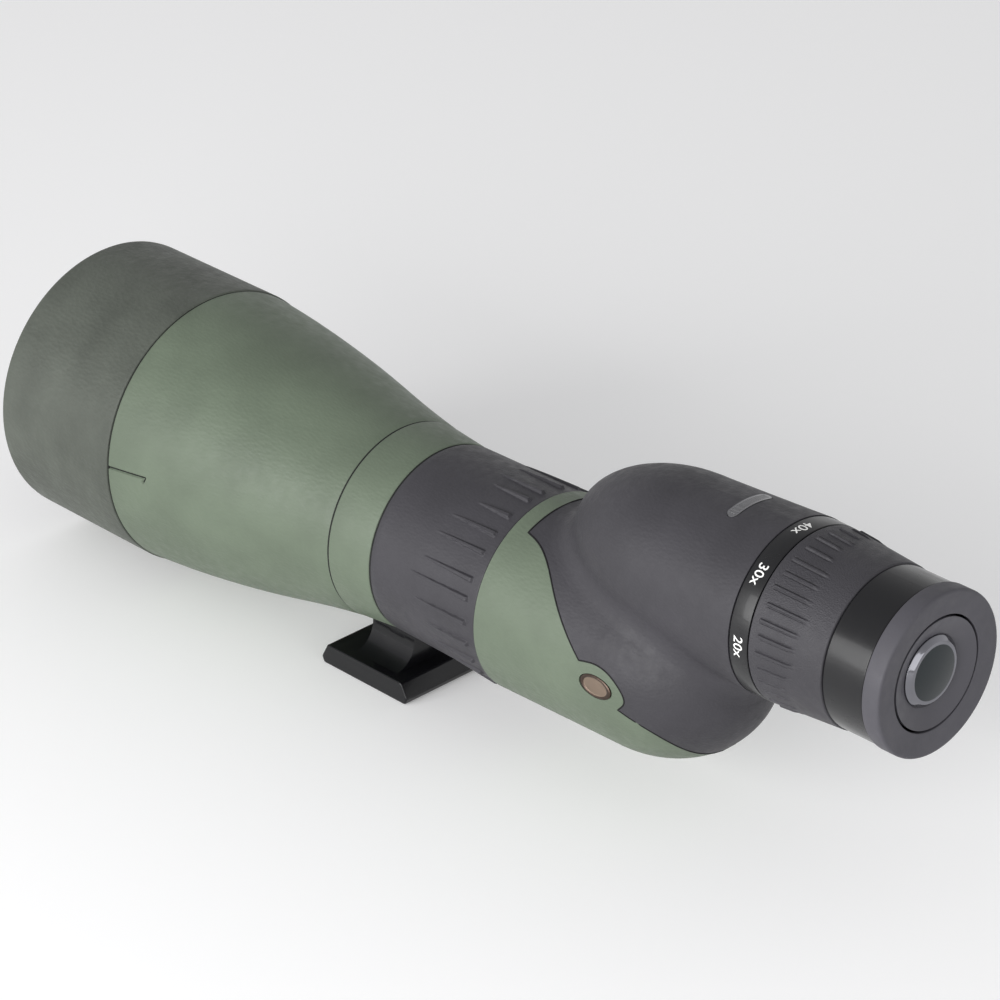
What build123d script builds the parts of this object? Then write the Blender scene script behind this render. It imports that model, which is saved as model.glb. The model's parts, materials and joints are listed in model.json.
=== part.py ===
from build123d import *
import math
import os

# Straight spotting scope, millimetres.  Origin at the mouth of the tripod thread in the
# middle of the foot, +Y towards the objective, +Z up.

# ---- overall sizes -------------------------------------------------------------------
axis_z = 54.2            # main optical axis over the foot's base
eyepiece_rise = 39.0     # eyepiece axis over the main axis
collar_rear = -13.9      # rear edge of the collar, measured from the tripod thread
collar_length = 18.6
barrel_length = 99.8     # green cone between the collar and the hood
hood_length = 59.8
focus_length = 52.8      # focus ring
housing_length = 110.4   # prism housing, focus ring to zoom scale
scale_length = 8.1       # zoom scale band
grip_length = 29.4       # zoom grip
shell_length = 16.2      # fixed eyepiece shell
eyecup_length = 7.3      # what shows of the eyecup when it is down

hood_radius = 52.3
collar_front_radius = 36.6
collar_rear_radius = 34.8
focus_radius = 34.9
housing_front_radius = 36.2
housing_lobe_radius = 35.2
eyepiece_dome_radius = 28.8
scale_radius = 31.0
grip_front_radius = 30.7
grip_rear_radius = 28.5
shell_radius = 28.1
eyecup_radius = 28.6

# ---- clearances ----------------------------------------------------------------------
slip = 0.05              # radial running clearance of what turns or slides
seat = 0.02              # radial gap of what is screwed or glued in
glue = 0.10              # between an armour skin and the casting under it
seam = 0.30              # between neighbouring outer pieces, along Y

# ---- walls ---------------------------------------------------------------------------
skin = 1.8               # rubber armour
cast_wall = 2.0          # castings
tube_wall = 2.0          # turned tubes

# ---- stations along Y ----------------------------------------------------------------
collar_front = collar_rear + collar_length
hood_seam = collar_front + barrel_length
hood_front = hood_seam + hood_length
focus_rear = collar_rear - focus_length
housing_rear = focus_rear - housing_length
scale_rear = housing_rear - scale_length
grip_rear = scale_rear - grip_length
shell_rear = grip_rear - shell_length
eyecup_rear = shell_rear - eyecup_length
eyepiece_z = axis_z + eyepiece_rise

# ---- travel --------------------------------------------------------------------------
hood_travel = 32.0
focus_turn_deg = 270.0           # each way from the middle
focus_lead = 8.0                 # cell travel per turn of the ring
zoom_down_deg = 82.5             # towards the highest power
zoom_up_deg = 92.5               # towards the lowest power
zoom_front_lead = 27.0
zoom_rear_lead = 14.0
eyecup_turn_deg = 150.0
eyecup_travel = 7.5


def turn(*outline, about=axis_z, mode=Mode.ADD):
    """Revolve a closed outline of (y, radius) corners about an axis along Y at a height."""
    with BuildSketch(Plane.YZ) as profile:
        with BuildLine():
            Polyline(*[(y, about + r) for y, r in outline], close=True)
        make_face()
    revolve(profile.sketch, axis=Axis((0, 0, about), (0, 1, 0)), mode=mode)


def tube(y0, y1, inner, outer, about=axis_z, mode=Mode.ADD):
    """A plain ring from y0 to y1."""
    turn((y0, inner), (y1, inner), (y1, outer), (y0, outer), about=about, mode=mode)


def slab(y0, y1):
    """A block that holds everything between two stations."""
    return Pos(0, (y0 + y1) / 2, axis_z) * Box(300, abs(y1 - y0), 300)


def rim(piece, y):
    """The widest circular edge of a turned piece at one station."""
    rims = piece.edges().filter_by(GeomType.CIRCLE).filter_by_position(Axis.Y, y - 0.01, y + 0.01)
    return rims.sort_by(lambda edge: edge.radius)[-1]


def edge_bulge(radius, sag, r):
    """Height of a spherical face of a given rim radius and sag, over its rim, at r."""
    sphere = (radius ** 2 + sag ** 2) / (2 * abs(sag))
    return math.copysign(math.sqrt(sphere ** 2 - r ** 2) - (sphere - abs(sag)), sag)


def make_lens(front, rear, radius, front_sag, rear_sag, about=axis_z):
    """Lens between two rims; a positive sag bulges outwards at that face."""
    half = radius / 2
    with BuildPart() as lens:
        with BuildSketch(Plane.YZ) as profile:
            with BuildLine():
                ThreePointArc((front + front_sag, about),
                              (front + edge_bulge(radius, front_sag, half), about + half),
                              (front, about + radius))
                Line((front, about + radius), (rear, about + radius))
                ThreePointArc((rear, about + radius),
                              (rear - edge_bulge(radius, rear_sag, half), about + half),
                              (rear - rear_sag, about))
                Line((rear - rear_sag, about), (front + front_sag, about))
            make_face()
        revolve(profile.sketch, axis=Axis((0, 0, about), (0, 1, 0)))
    return lens


def helix_cutter(lead, turned_deg, inner, outer, half_width, middle_y, about, angle_deg):
    """Square cutter along a helix about an axis parallel to Y.

    The cutter's middle is at middle_y and at angle_deg about +Y, counted from +Z.  A
    positive lead moves it to +Y as it turns by the right-hand rule about +Y.
    """
    rise = abs(lead) * turned_deg / 360
    mean = (inner + outer) / 2
    with BuildPart() as cutter:
        with BuildLine() as path:
            Helix(pitch=abs(lead), height=rise, radius=mean, center=(0, 0, -rise / 2),
                  lefthand=lead < 0)
        start = path.line @ 0
        radial = Vector(start.X, start.Y, 0).normalized()
        with BuildSketch(Plane(origin=start, x_dir=radial, z_dir=path.line % 0)):
            Rectangle(outer - inner, 2 * half_width)
        sweep(is_frenet=True)
    middle_deg = turned_deg / 2 * (-1 if lead < 0 else 1)
    # about +Z first: bring the middle to -Y, which the next turn takes to +Z
    upright = cutter.part.rotate(Axis.Z, -90 - middle_deg).rotate(Axis.X, -90)
    return Pos(0, middle_y, about) * upright.rotate(Axis.Y, angle_deg)


# ======================================================================================
# Main tube and foot
# ======================================================================================
neck_radius = 30.0               # journal the focus ring turns on
neck_wall = 3.0
neck_bore = neck_radius - neck_wall  # the focusing cell slides in it
spigot_length = 8.0              # behind the focus ring, into the prism housing
collar_metal = skin + glue       # the collar's metal lies this far inside its armour
barrel_spigot_length = 10.0
barrel_spigot_radius = 29.5
stalk_half_x = 13.0
stalk_length = 16.6
foot_half_x = 25.2
foot_length = 43.8
foot_height = 8.0
foot_middle = 0.0
stalk_middle = collar_rear + collar_length / 2
screw_x = 8.0                    # foot screws, either side
screw_radius = 2.0
screw_head_radius = 3.5
screw_head_depth = 4.0
screw_bite = 4.5                 # thread length in the collar
bush_radius = 4.75
bush_bore = 2.6                  # minor radius of the 1/4-20 thread
bush_length = 8.0

saddle_radius = collar_rear_radius - collar_metal
focus_middle = focus_rear + focus_length * 0.42
focus_pin_radius = 1.5
focus_stroke = focus_lead * focus_turn_deg / 360

with BuildPart() as main_tube:
    turn((focus_rear - spigot_length, neck_bore), (focus_rear - spigot_length, neck_radius),
         (collar_rear - seam, neck_radius), (collar_rear - seam, saddle_radius),
         (collar_front, saddle_radius), (collar_front, barrel_spigot_radius + seat),
         (collar_front - barrel_spigot_length, barrel_spigot_radius + seat),
         (collar_front - barrel_spigot_length, neck_bore))
    # straight slot that keeps the focusing cell from turning, on top
    with BuildSketch(Plane.XY.offset(axis_z)):
        with Locations((0, focus_middle)):
            SlotCenterToCenter(2 * (focus_stroke + slip), 2 * (focus_pin_radius + slip),
                               rotation=90)
    extrude(amount=neck_radius + 1, mode=Mode.SUBTRACT)
    # threaded holes for the foot's screws
    with Locations((screw_x, stalk_middle, axis_z - saddle_radius - 1),
                   (-screw_x, stalk_middle, axis_z - saddle_radius - 1)):
        Cylinder(screw_radius + seat, screw_bite + 3, mode=Mode.SUBTRACT,
                 align=(Align.CENTER, Align.CENTER, Align.MIN))

foot_edge_rise = 2.4             # height of the foot's widest line
foot_slope = 3.0                 # how far its ends lean in above that line
neck_reach = 21.5                # half width of the coved neck where it meets the plate
neck_cove = 10.0                 # height of its coved sides
neck_rear = stalk_middle - 8.6
neck_front = stalk_middle + 12.6
neck_clear = 0.3                 # under the armour
saddle_clear = 0.05

cove_width = neck_reach - stalk_half_x
cove_middle_x = neck_reach - cove_width * math.sqrt(0.5)
cove_middle_z = foot_height + neck_cove * (1 - math.sqrt(0.5))
cove_top = foot_height + neck_cove
neck_top = foot_height + 2 * neck_cove
with BuildPart() as neck_block:
    with BuildSketch(Plane.XZ.offset(-neck_front)):
        with BuildLine():
            ThreePointArc((neck_reach, foot_height), (cove_middle_x, cove_middle_z),
                          (stalk_half_x, cove_top))
            ThreePointArc((-neck_reach, foot_height), (-cove_middle_x, cove_middle_z),
                          (-stalk_half_x, cove_top))
            Polyline((stalk_half_x, cove_top), (stalk_half_x, neck_top),
                     (-stalk_half_x, neck_top), (-stalk_half_x, cove_top))
            Polyline((neck_reach, foot_height), (neck_reach, foot_height - 1),
                     (-neck_reach, foot_height - 1), (-neck_reach, foot_height))
        make_face()
    extrude(amount=neck_front - neck_rear)
    turn((neck_rear - 2, 0), (neck_rear - 2, collar_rear_radius + neck_clear),
         (collar_rear, collar_rear_radius + neck_clear),
         (collar_front, collar_front_radius + neck_clear),
         (neck_front + 2, collar_front_radius + neck_clear + 1.2), (neck_front + 2, 0),
         mode=Mode.SUBTRACT)
foot_neck = neck_block.part

with BuildPart() as tripod_foot:
    half = foot_length / 2
    with BuildSketch(Plane.YZ) as side:
        with BuildLine():
            FilletPolyline((-half + 1, 0), (half - 1, 0), (half, foot_edge_rise),
                           (half - foot_slope, foot_height),
                           (-half + foot_slope, foot_height), (-half, foot_edge_rise),
                           radius=1.2, close=True)
        make_face()
    extrude(amount=foot_half_x, both=True)
    foot_sides = tripod_foot.edges().filter_by(GeomType.LINE).filter_by(
        lambda e: abs(abs(e.center().X) - foot_half_x) < 0.01 and e.center().Z > 1)
    fillet(foot_sides, 0.6)
    with BuildSketch(Plane.XY.offset(foot_height)):
        with Locations((0, stalk_middle)):
            RectangleRounded(2 * stalk_half_x, stalk_length, 5)
    extrude(amount=axis_z - saddle_radius - foot_height + 6)
    turn((collar_rear - 30, 0), (collar_rear - 30, saddle_radius + saddle_clear),
         (collar_front + 30, saddle_radius + saddle_clear), (collar_front + 30, 0),
         mode=Mode.SUBTRACT)
    add(foot_neck)
    # pocket for the thread bush
    with Locations((0, foot_middle, 0)):
        Cylinder(bush_radius + seat, bush_length + 0.2, mode=Mode.SUBTRACT,
                 align=(Align.CENTER, Align.CENTER, Align.MIN))
    with Locations((screw_x, stalk_middle, 0), (-screw_x, stalk_middle, 0)):
        Cylinder(screw_head_radius + 0.15, screw_head_depth + 0.4, mode=Mode.SUBTRACT,
                 align=(Align.CENTER, Align.CENTER, Align.MIN))
        Cylinder(screw_radius + 0.15, axis_z, mode=Mode.SUBTRACT,
                 align=(Align.CENTER, Align.CENTER, Align.MIN))

with BuildPart() as tripod_bush:
    Cylinder(bush_radius, bush_length, align=(Align.CENTER, Align.CENTER, Align.MIN))
    Cylinder(bush_bore, bush_length, mode=Mode.SUBTRACT,
             align=(Align.CENTER, Align.CENTER, Align.MIN))

with BuildPart() as foot_screws:
    saddle_z = axis_z - math.sqrt(saddle_radius ** 2 - screw_x ** 2)
    with Locations((screw_x, stalk_middle, 0.4), (-screw_x, stalk_middle, 0.4)):
        Cylinder(screw_head_radius, screw_head_depth,
                 align=(Align.CENTER, Align.CENTER, Align.MIN))
        Cylinder(screw_radius, saddle_z + screw_bite - 2.5,
                 align=(Align.CENTER, Align.CENTER, Align.MIN))
    with BuildSketch(Plane.XY):
        with Locations((screw_x, stalk_middle), (-screw_x, stalk_middle)):
            RegularPolygon(1.7, 6)
    extrude(amount=0.4 + 2.2, mode=Mode.SUBTRACT)

# ======================================================================================
# Objective barrel
# ======================================================================================
# share of the cone's rise in radius at shares of its length
cone_profile = ((0.17, 0.183), (0.40, 0.484), (0.64, 0.745), (0.87, 0.928))
hood_step = 0.4                                  # the hood stands this proud of the cone
cone_rise = hood_radius - hood_step - collar_front_radius
hood_wall = 2.05
hood_tube_radius = hood_radius - skin - glue
hood_bore = hood_tube_radius - hood_wall
hood_journal = hood_bore - slip
cell_bore = hood_journal - tube_wall
barrel_recess = 17.5                             # barrel's front edge, inside the hood
barrel_front = hood_front - barrel_recess
shoulder = hood_seam - 2.0


def cone_edge(inset):
    """Points of the cone's profile, inset, from the collar to the hood's seam."""
    middle = [(collar_front + share * barrel_length,
               axis_z + collar_front_radius + rise * cone_rise - inset)
              for share, rise in cone_profile]
    return [(collar_front, axis_z + collar_front_radius - inset), *middle,
            (hood_seam, axis_z + hood_radius - hood_step - inset)]


def cone_shell(inset, wall, rear, front):
    """Thin shell that follows the cone between two stations."""
    outer = cone_edge(inset)
    inner = cone_edge(inset + wall)
    with BuildPart() as shell:
        with BuildSketch(Plane.YZ) as profile:
            with BuildLine():
                Spline(*outer)
                Line(outer[-1], inner[-1])
                Spline(*inner)
                Line(inner[0], outer[0])
            make_face()
        revolve(profile.sketch, axis=Axis((0, 0, axis_z), (0, 1, 0)))
    return shell.part & slab(rear, front)


barrel_inset = skin + glue
cone_skin = cone_shell(0, skin, collar_front + seam, hood_seam - seam / 2)
cone_tube = cone_shell(barrel_inset, tube_wall, collar_front + seam, shoulder)

with BuildPart() as barrel_armour:
    add(cone_skin)

last_share, last_rise = cone_profile[-1]
shoulder_fall = cone_rise * (1 - last_rise) / (barrel_length * (1 - last_share))
shoulder_length = 3.0
shoulder_gap = 0.2                               # under the inside of the cone's armour
shoulder_radius = (hood_radius - hood_step - barrel_inset - shoulder_gap
                   - shoulder_fall * (hood_seam - shoulder))
band_length = 5.0                                # friction band under the hood
band_depth = 0.8
band_middle = barrel_front - 7.0

with BuildPart() as objective_barrel:
    add(cone_tube)
    turn((shoulder - shoulder_length, cell_bore),
         (shoulder - shoulder_length, shoulder_radius - shoulder_fall * shoulder_length),
         (shoulder, shoulder_radius), (shoulder, hood_journal),
         (barrel_front, hood_journal), (barrel_front, cell_bore))
    tube(collar_front - barrel_spigot_length + seat, collar_front + seam + 2,
         barrel_spigot_radius - tube_wall, barrel_spigot_radius)
    tube(collar_front + seam, collar_front + seam + 2, barrel_spigot_radius - tube_wall,
         collar_front_radius - barrel_inset - 0.3)
    tube(band_middle - band_length / 2 - seat, band_middle + band_length / 2 + seat,
         hood_journal - band_depth, hood_journal + 1, mode=Mode.SUBTRACT)

with BuildPart() as collar_armour:
    turn((collar_rear, saddle_radius + glue), (collar_rear, collar_rear_radius),
         (collar_front, collar_front_radius), (collar_front, saddle_radius + glue))
    # window for the foot's stalk
    with BuildSketch(Plane.XY):
        with Locations((0, stalk_middle)):
            RectangleRounded(2 * stalk_half_x + 0.6, stalk_length + 0.6, 5.3)
    extrude(amount=axis_z, mode=Mode.SUBTRACT)

# ======================================================================================
# Objective
# ======================================================================================
cell_radius = cell_bore - seat
cell_wall = 4.28
lens_radius = cell_radius - cell_wall
crown_front = barrel_front - 5.0                 # rim of the front lens
crown_edge = 4.5
crown_front_sag = 4.4
crown_rear_sag = 2.6
spacer_length = 0.9
spacer_width = 1.2
flint_edge = 7.0
cell_lip = 3.0
crown_rear = crown_front - crown_edge
flint_front = crown_rear - spacer_length
flint_rear = flint_front - flint_edge
cell_rear = flint_rear - cell_lip
cell_front = barrel_front - 1.0

with BuildPart() as objective_cell:
    turn((cell_rear - 14, lens_radius + 2.2), (cell_rear - 14, cell_radius),
         (cell_front, cell_radius), (cell_front, lens_radius + seat),
         (flint_rear - seat, lens_radius + seat), (flint_rear - seat, lens_radius - 1.2),
         (cell_rear, lens_radius - 1.2), (cell_rear, lens_radius + 2.2))

objective_crown = make_lens(crown_front, crown_rear, lens_radius, crown_front_sag,
                            crown_rear_sag)
objective_flint = make_lens(flint_front - seat, flint_rear, lens_radius, -2.7, -0.9)

spacer_rise = edge_bulge(lens_radius, crown_rear_sag, lens_radius - spacer_width)
with BuildPart() as objective_spacer:
    tube(crown_rear - spacer_rise - seat, flint_front, lens_radius - spacer_width,
         lens_radius)

retainer_rear = crown_front + seat + edge_bulge(lens_radius, crown_front_sag,
                                                lens_radius - 1.0)
with BuildPart() as objective_retainer:
    turn((retainer_rear, lens_radius - 1.0), (retainer_rear, lens_radius),
         (cell_front, lens_radius), (cell_front, lens_radius - 0.4))

# ======================================================================================
# Sliding hood
# ======================================================================================
hood_rear = hood_seam + seam / 2
hood_lip = 2.2
hood_round = 2.0

with BuildPart() as hood_tube:
    tube(hood_rear + 0.4, hood_front - hood_lip, hood_bore, hood_tube_radius)

with BuildPart() as hood_armour:
    turn((hood_rear, hood_tube_radius + glue), (hood_rear, hood_radius),
         (hood_front, hood_radius), (hood_front, hood_bore + 0.4),
         (hood_front - hood_lip + glue, hood_bore + 0.4),
         (hood_front - hood_lip + glue, hood_tube_radius + glue))
    fillet(rim(hood_armour, hood_front), hood_round)

with BuildPart() as hood_friction_band:
    tube(band_middle - band_length / 2, band_middle + band_length / 2,
         hood_journal - band_depth + seat, hood_journal + slip / 2)

# ======================================================================================
# Focusing: ring with a helical groove, cell with a follower pin
# ======================================================================================
ring_bore = neck_radius + slip
ring_wall = 2.55
ring_outer = ring_bore + ring_wall
groove_depth = 1.6
grip_taper = 0.7                                 # the grip widens this much to the rear
focus_cell_radius = neck_bore - slip
focus_cell_length = 14.0
focus_cell_wall = 5.45
focus_lens_radius = focus_cell_radius - focus_cell_wall
focus_lens_edge = 4.0
focus_lens_lip = 1.0
focus_ring_front = collar_rear - seam
focus_ring_rear = focus_rear + seam
focus_groove_deg = 2 * focus_turn_deg + 2 * math.degrees(
    (focus_pin_radius + seam) / ring_bore)

with BuildPart() as focus_ring:
    tube(focus_ring_rear + 0.4, focus_ring_front - 0.2, ring_bore, ring_outer)
    add(helix_cutter(-focus_lead, focus_groove_deg, ring_bore - 1, ring_bore + groove_depth,
                     focus_pin_radius + 2 * slip, focus_middle, axis_z, 0),
        mode=Mode.SUBTRACT)

with BuildPart() as focus_grip:
    turn((focus_ring_rear, ring_outer + seat), (focus_ring_rear, focus_radius + grip_taper),
         (focus_ring_front, focus_radius), (focus_ring_front, ring_outer + seat))
    fillet(rim(focus_grip, focus_ring_rear), 0.6)

focus_cell_rear = focus_middle - focus_cell_length / 2
focus_cell_front = focus_middle + focus_cell_length / 2
focus_lens_front = focus_cell_rear + focus_lens_lip + focus_lens_edge
pin_foot = focus_lens_radius + 1.0

with BuildPart() as focus_cell:
    turn((focus_cell_rear, focus_lens_radius - 1), (focus_cell_rear, focus_cell_radius),
         (focus_cell_front, focus_cell_radius), (focus_cell_front, focus_lens_radius + seat),
         (focus_cell_rear + focus_lens_lip - seat, focus_lens_radius + seat),
         (focus_cell_rear + focus_lens_lip - seat, focus_lens_radius - 1))
    with Locations((0, focus_middle, axis_z + pin_foot - seat)):
        Cylinder(focus_pin_radius + seat, focus_cell_radius, mode=Mode.SUBTRACT,
                 align=(Align.CENTER, Align.CENTER, Align.MIN))

focus_lens = make_lens(focus_lens_front, focus_cell_rear + focus_lens_lip,
                       focus_lens_radius, -1.4, -0.8)

with BuildPart() as focus_lens_ring:
    tube(focus_lens_front + seat, focus_lens_front + 2.5, focus_lens_radius - 1.2,
         focus_lens_radius)

with BuildPart() as focus_pin:
    with Locations((0, focus_middle, axis_z + pin_foot)):
        Cylinder(focus_pin_radius, ring_bore + groove_depth - 0.2 - pin_foot,
                 align=(Align.CENTER, Align.CENTER, Align.MIN))

# ======================================================================================
# Prism housing: an upper domed lobe on a lower lobe with a round rear end
# ======================================================================================
dome_start = focus_rear - 19.2                   # nose of the upper lobe
dome_length = 48.0
lobe_round_start = focus_rear - 55.2             # where the lower lobe starts to close
lobe_round_length = 42.0
dome_base = dome_start - dome_length
blend = 11.0                                     # fillet between the two lobes


def lower_radius(y):
    """Radius of the lower lobe's cone at a station ahead of its round end."""
    share = (focus_rear - y) / (focus_rear - lobe_round_start)
    return housing_front_radius + (housing_lobe_radius - housing_front_radius) * share


def upper_radius(y):
    """Radius of the upper lobe's cone at a station behind its dome."""
    share = (dome_base - y) / (dome_base - housing_rear)
    return eyepiece_dome_radius + (scale_radius - eyepiece_dome_radius) * share


def housing_solid(inset):
    """Both lobes, inset all round, from the focus ring to the zoom ring."""
    front = focus_rear - seam
    lobe_r = housing_lobe_radius - inset
    dome_r = eyepiece_dome_radius - inset
    with BuildPart() as body:
        with BuildSketch(Plane.YZ) as lower:
            with BuildLine():
                round_end = EllipticalCenterArc((lobe_round_start, axis_z),
                                                lobe_round_length - inset, lobe_r, 90,
                                                arc_size=90)
                Polyline(round_end @ 0, (front, axis_z + lower_radius(front) - inset),
                         (front, axis_z), round_end @ 1)
            make_face()
        revolve(axis=Axis((0, 0, axis_z), (0, 1, 0)))
        with BuildSketch(Plane.YZ) as upper:
            with BuildLine():
                dome = EllipticalCenterArc((dome_base, eyepiece_z), dome_length - inset,
                                           dome_r, 0, arc_size=90)
                Polyline(dome @ 1, (housing_rear, eyepiece_z + scale_radius - inset),
                         (housing_rear, eyepiece_z), dome @ 0)
            make_face()
        revolve(axis=Axis((0, 0, eyepiece_z), (0, 1, 0)))
        fillet(body.edges().filter_by(GeomType.BSPLINE), blend + inset)
    return body.part


armour_outer = housing_solid(0)
armour_inner = housing_solid(skin)
cast_outer = housing_solid(skin + glue)
cast_inner = housing_solid(skin + glue + cast_wall)

beyond = 5.0                     # cutters run this far past what they cut
plate_front = dome_start - 32.0
plate_thickness = 2.0
plate_rear = plate_front - plate_thickness
rear_wall = 6.0
rear_wall_front = housing_rear + rear_wall
guide_radius = 24.0              # eyepiece tube in the rear wall's bore
lug_circle = 26.6                # screw lugs that clamp the prism plate, about the main axis
lug_radius = 3.0
lug_length = 7.0
lug_angles = (35, 145, 225, 315)
lug_screw = 1.25
lug_head = 2.3
lug_head_depth = 2.0

front_cavity = cast_inner & slab(focus_rear - spigot_length, plate_front - 1)
rear_cavity = cast_inner & slab(plate_rear + 1, rear_wall_front)


def lug_places():
    """Plan positions of the lugs as (x, z) from the main axis, with their angle."""
    return [(lug_circle * math.cos(math.radians(a)), lug_circle * math.sin(math.radians(a)), a)
            for a in lug_angles]


def lugs(y0, y1):
    """Four lugs between two stations, each a round boss with a web out to the wall."""
    with BuildPart() as bosses:
        with BuildSketch(Plane.XZ.offset(-max(y0, y1))):
            for x, z, angle in lug_places():
                with Locations(Location((x, axis_z + z, 0), (0, 0, angle))):
                    Circle(lug_radius)
                    Rectangle(5, 2 * lug_radius, align=(Align.MIN, Align.CENTER))
        extrude(amount=abs(y1 - y0))
    return bosses.part


def lug_holes(y0, y1, radius):
    """Four round holes through the lugs between two stations."""
    with BuildPart() as holes:
        with BuildSketch(Plane.XZ.offset(-max(y0, y1))):
            for x, z, angle in lug_places():
                with Locations((x, axis_z + z)):
                    Circle(radius)
        extrude(amount=abs(y1 - y0))
    return holes.part


front_lugs = lugs(plate_front + lug_length, plate_front + seat) & cast_outer
rear_lugs = lugs(plate_rear - seat, plate_rear - lug_length) & cast_outer
front_lug_holes = lug_holes(plate_front + lug_length + 1, plate_rear - 1, lug_screw + 0.15)
rear_lug_holes = lug_holes(plate_rear + 1, plate_rear - lug_length + 1, lug_screw + seat)

front_half = cast_outer & slab(focus_rear + beyond, plate_front + seat)
rear_half = cast_outer & slab(plate_rear - seat, housing_rear - beyond)

with BuildPart() as front_housing:
    add(front_half)
    add(front_cavity, mode=Mode.SUBTRACT)
    tube(focus_rear, focus_rear - spigot_length - 1, 0, neck_radius + seat,
         mode=Mode.SUBTRACT)
    add(front_lugs)
    add(front_lug_holes, mode=Mode.SUBTRACT)

with BuildPart() as rear_housing:
    add(rear_half)
    add(rear_cavity, mode=Mode.SUBTRACT)
    tube(rear_wall_front + 1, housing_rear - 1, 0, guide_radius + seat, about=eyepiece_z,
         mode=Mode.SUBTRACT)
    add(rear_lugs)
    add(rear_lug_holes, mode=Mode.SUBTRACT)

# ---- armour of the housing: green in front, black behind a curved joint ---------------
# joint points as (distance behind the focus ring, height over the main axis)
joint_top = (7.2, 60.0)
joint_step = (6.8, 31.8)
joint_slope = ((13.2, 30.8), (22.2, 27.4), (31.2, 21.1), (39.2, 14.5))
joint_corner = (48.2, 7.0)
joint_lobe = ((57.2, 8.1), (65.2, 4.0), (67.9, -1.4))
joint_return = (65.4, -4.9)
joint_under = ((72.9, -8.9), (79.0, -14.0), (83.0, -21.0), (84.5, -32.0))
joint_bottom = (84.5, -60.0)


def joint_point(point):
    """A joint point in the side view's own (y, z)."""
    behind, height = point
    return (focus_rear - behind, axis_z + height)


with BuildSketch(Plane.YZ) as green_side:
    with BuildLine():
        ahead = focus_rear + 5
        Polyline((ahead, axis_z - 60), (ahead, axis_z + 60), joint_point(joint_top),
                 joint_point(joint_step))
        Spline(*[joint_point(p) for p in (joint_step, *joint_slope, joint_corner)])
        Spline(*[joint_point(p) for p in (joint_corner, *joint_lobe, joint_return)])
        Spline(*[joint_point(p) for p in (joint_return, *joint_under)])
        Polyline(joint_point(joint_under[-1]), joint_point(joint_bottom),
                 (ahead, axis_z - 60))
    make_face()

green_block = extrude(green_side.sketch, amount=60, both=True)

# badges: an oval on each side, a slim bar across the top, all blank
side_badge_behind = 56.2
side_badge_height = 0.5
side_badge_size = (14.0, 8.0)
side_badge_proud = 0.3
badge_thickness = 1.1
badge_gap = 0.15
top_badge_behind = 90.2
top_badge_size = (19.0, 4.2)

side_badge_centre = joint_point((side_badge_behind, side_badge_height))
side_badge_x = lower_radius(side_badge_centre[0]) + side_badge_proud - 0.25
top_badge_y = focus_rear - top_badge_behind
top_badge_r = upper_radius(top_badge_y) + 0.25


def side_ovals(grow, inner, outer):
    """An oval block on each side, from inner to outer |x|."""
    with BuildPart() as ovals:
        with BuildSketch(Plane.YZ.offset(inner)) as left_oval:
            with Locations(side_badge_centre):
                Ellipse(side_badge_size[0] / 2 + grow, side_badge_size[1] / 2 + grow)
        extrude(amount=outer - inner)
        mirror(about=Plane.YZ)
    return ovals.part


def top_bar(grow, inner, outer):
    """A round-ended bar that follows the top of the upper lobe between two radii."""
    with BuildPart() as bar:
        with BuildSketch(Plane.XY.offset(eyepiece_z)):
            with Locations((0, top_badge_y)):
                SlotOverall(top_badge_size[0] + 2 * grow, top_badge_size[1] + 2 * grow)
        extrude(amount=outer + 5)
        tube(top_badge_y - 20, top_badge_y + 20, inner, outer, about=eyepiece_z,
             mode=Mode.INTERSECT)
    return bar.part


side_pocket = side_ovals(badge_gap, side_badge_x - badge_thickness - seat, hood_radius)
top_pocket = top_bar(badge_gap, top_badge_r - badge_thickness - seat, top_badge_r + 5)

with BuildPart() as rear_armour_green:
    add(armour_outer)
    add(armour_inner, mode=Mode.SUBTRACT)
    add(green_block, mode=Mode.INTERSECT)
    add(side_pocket, mode=Mode.SUBTRACT)

with BuildPart() as rear_armour_black:
    add(armour_outer)
    add(armour_inner, mode=Mode.SUBTRACT)
    add(green_block, mode=Mode.SUBTRACT)
    add(top_pocket, mode=Mode.SUBTRACT)

with BuildPart() as side_badges:
    add(side_ovals(0, side_badge_x - badge_thickness, side_badge_x))

with BuildPart() as top_badge:
    add(top_bar(0, top_badge_r - badge_thickness, top_badge_r))

# ======================================================================================
# Prisms: two right-angle prisms either side of a plate shift the beam up to the eyepiece
# ======================================================================================
beam_radius = 7.3
second_shift = 15.0              # the upper prism's shift; the lower one makes up the rest
first_shift = math.sqrt(eyepiece_rise ** 2 - second_shift ** 2)
lean = math.asin(second_shift / eyepiece_rise)
beam_turn = (-first_shift * math.sin(lean), first_shift * math.cos(lean))   # x, height
prism_gap = 0.05
roof_trim = 0.6                  # flat ground on each roof edge
clip_width = 6.0
clip_thickness = 0.8
clip_foot = 5.0


def prism_frame(start, end, face_y, towards):
    """Workplane at the middle of a prism's long face: x along it, z square to the shift."""
    middle = ((start[0] + end[0]) / 2, face_y, axis_z + (start[1] + end[1]) / 2)
    along = Vector(end[0] - start[0], 0, end[1] - start[1]).normalized()
    return Plane(origin=middle, x_dir=along, z_dir=along.cross(Vector(0, towards, 0)))


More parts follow.
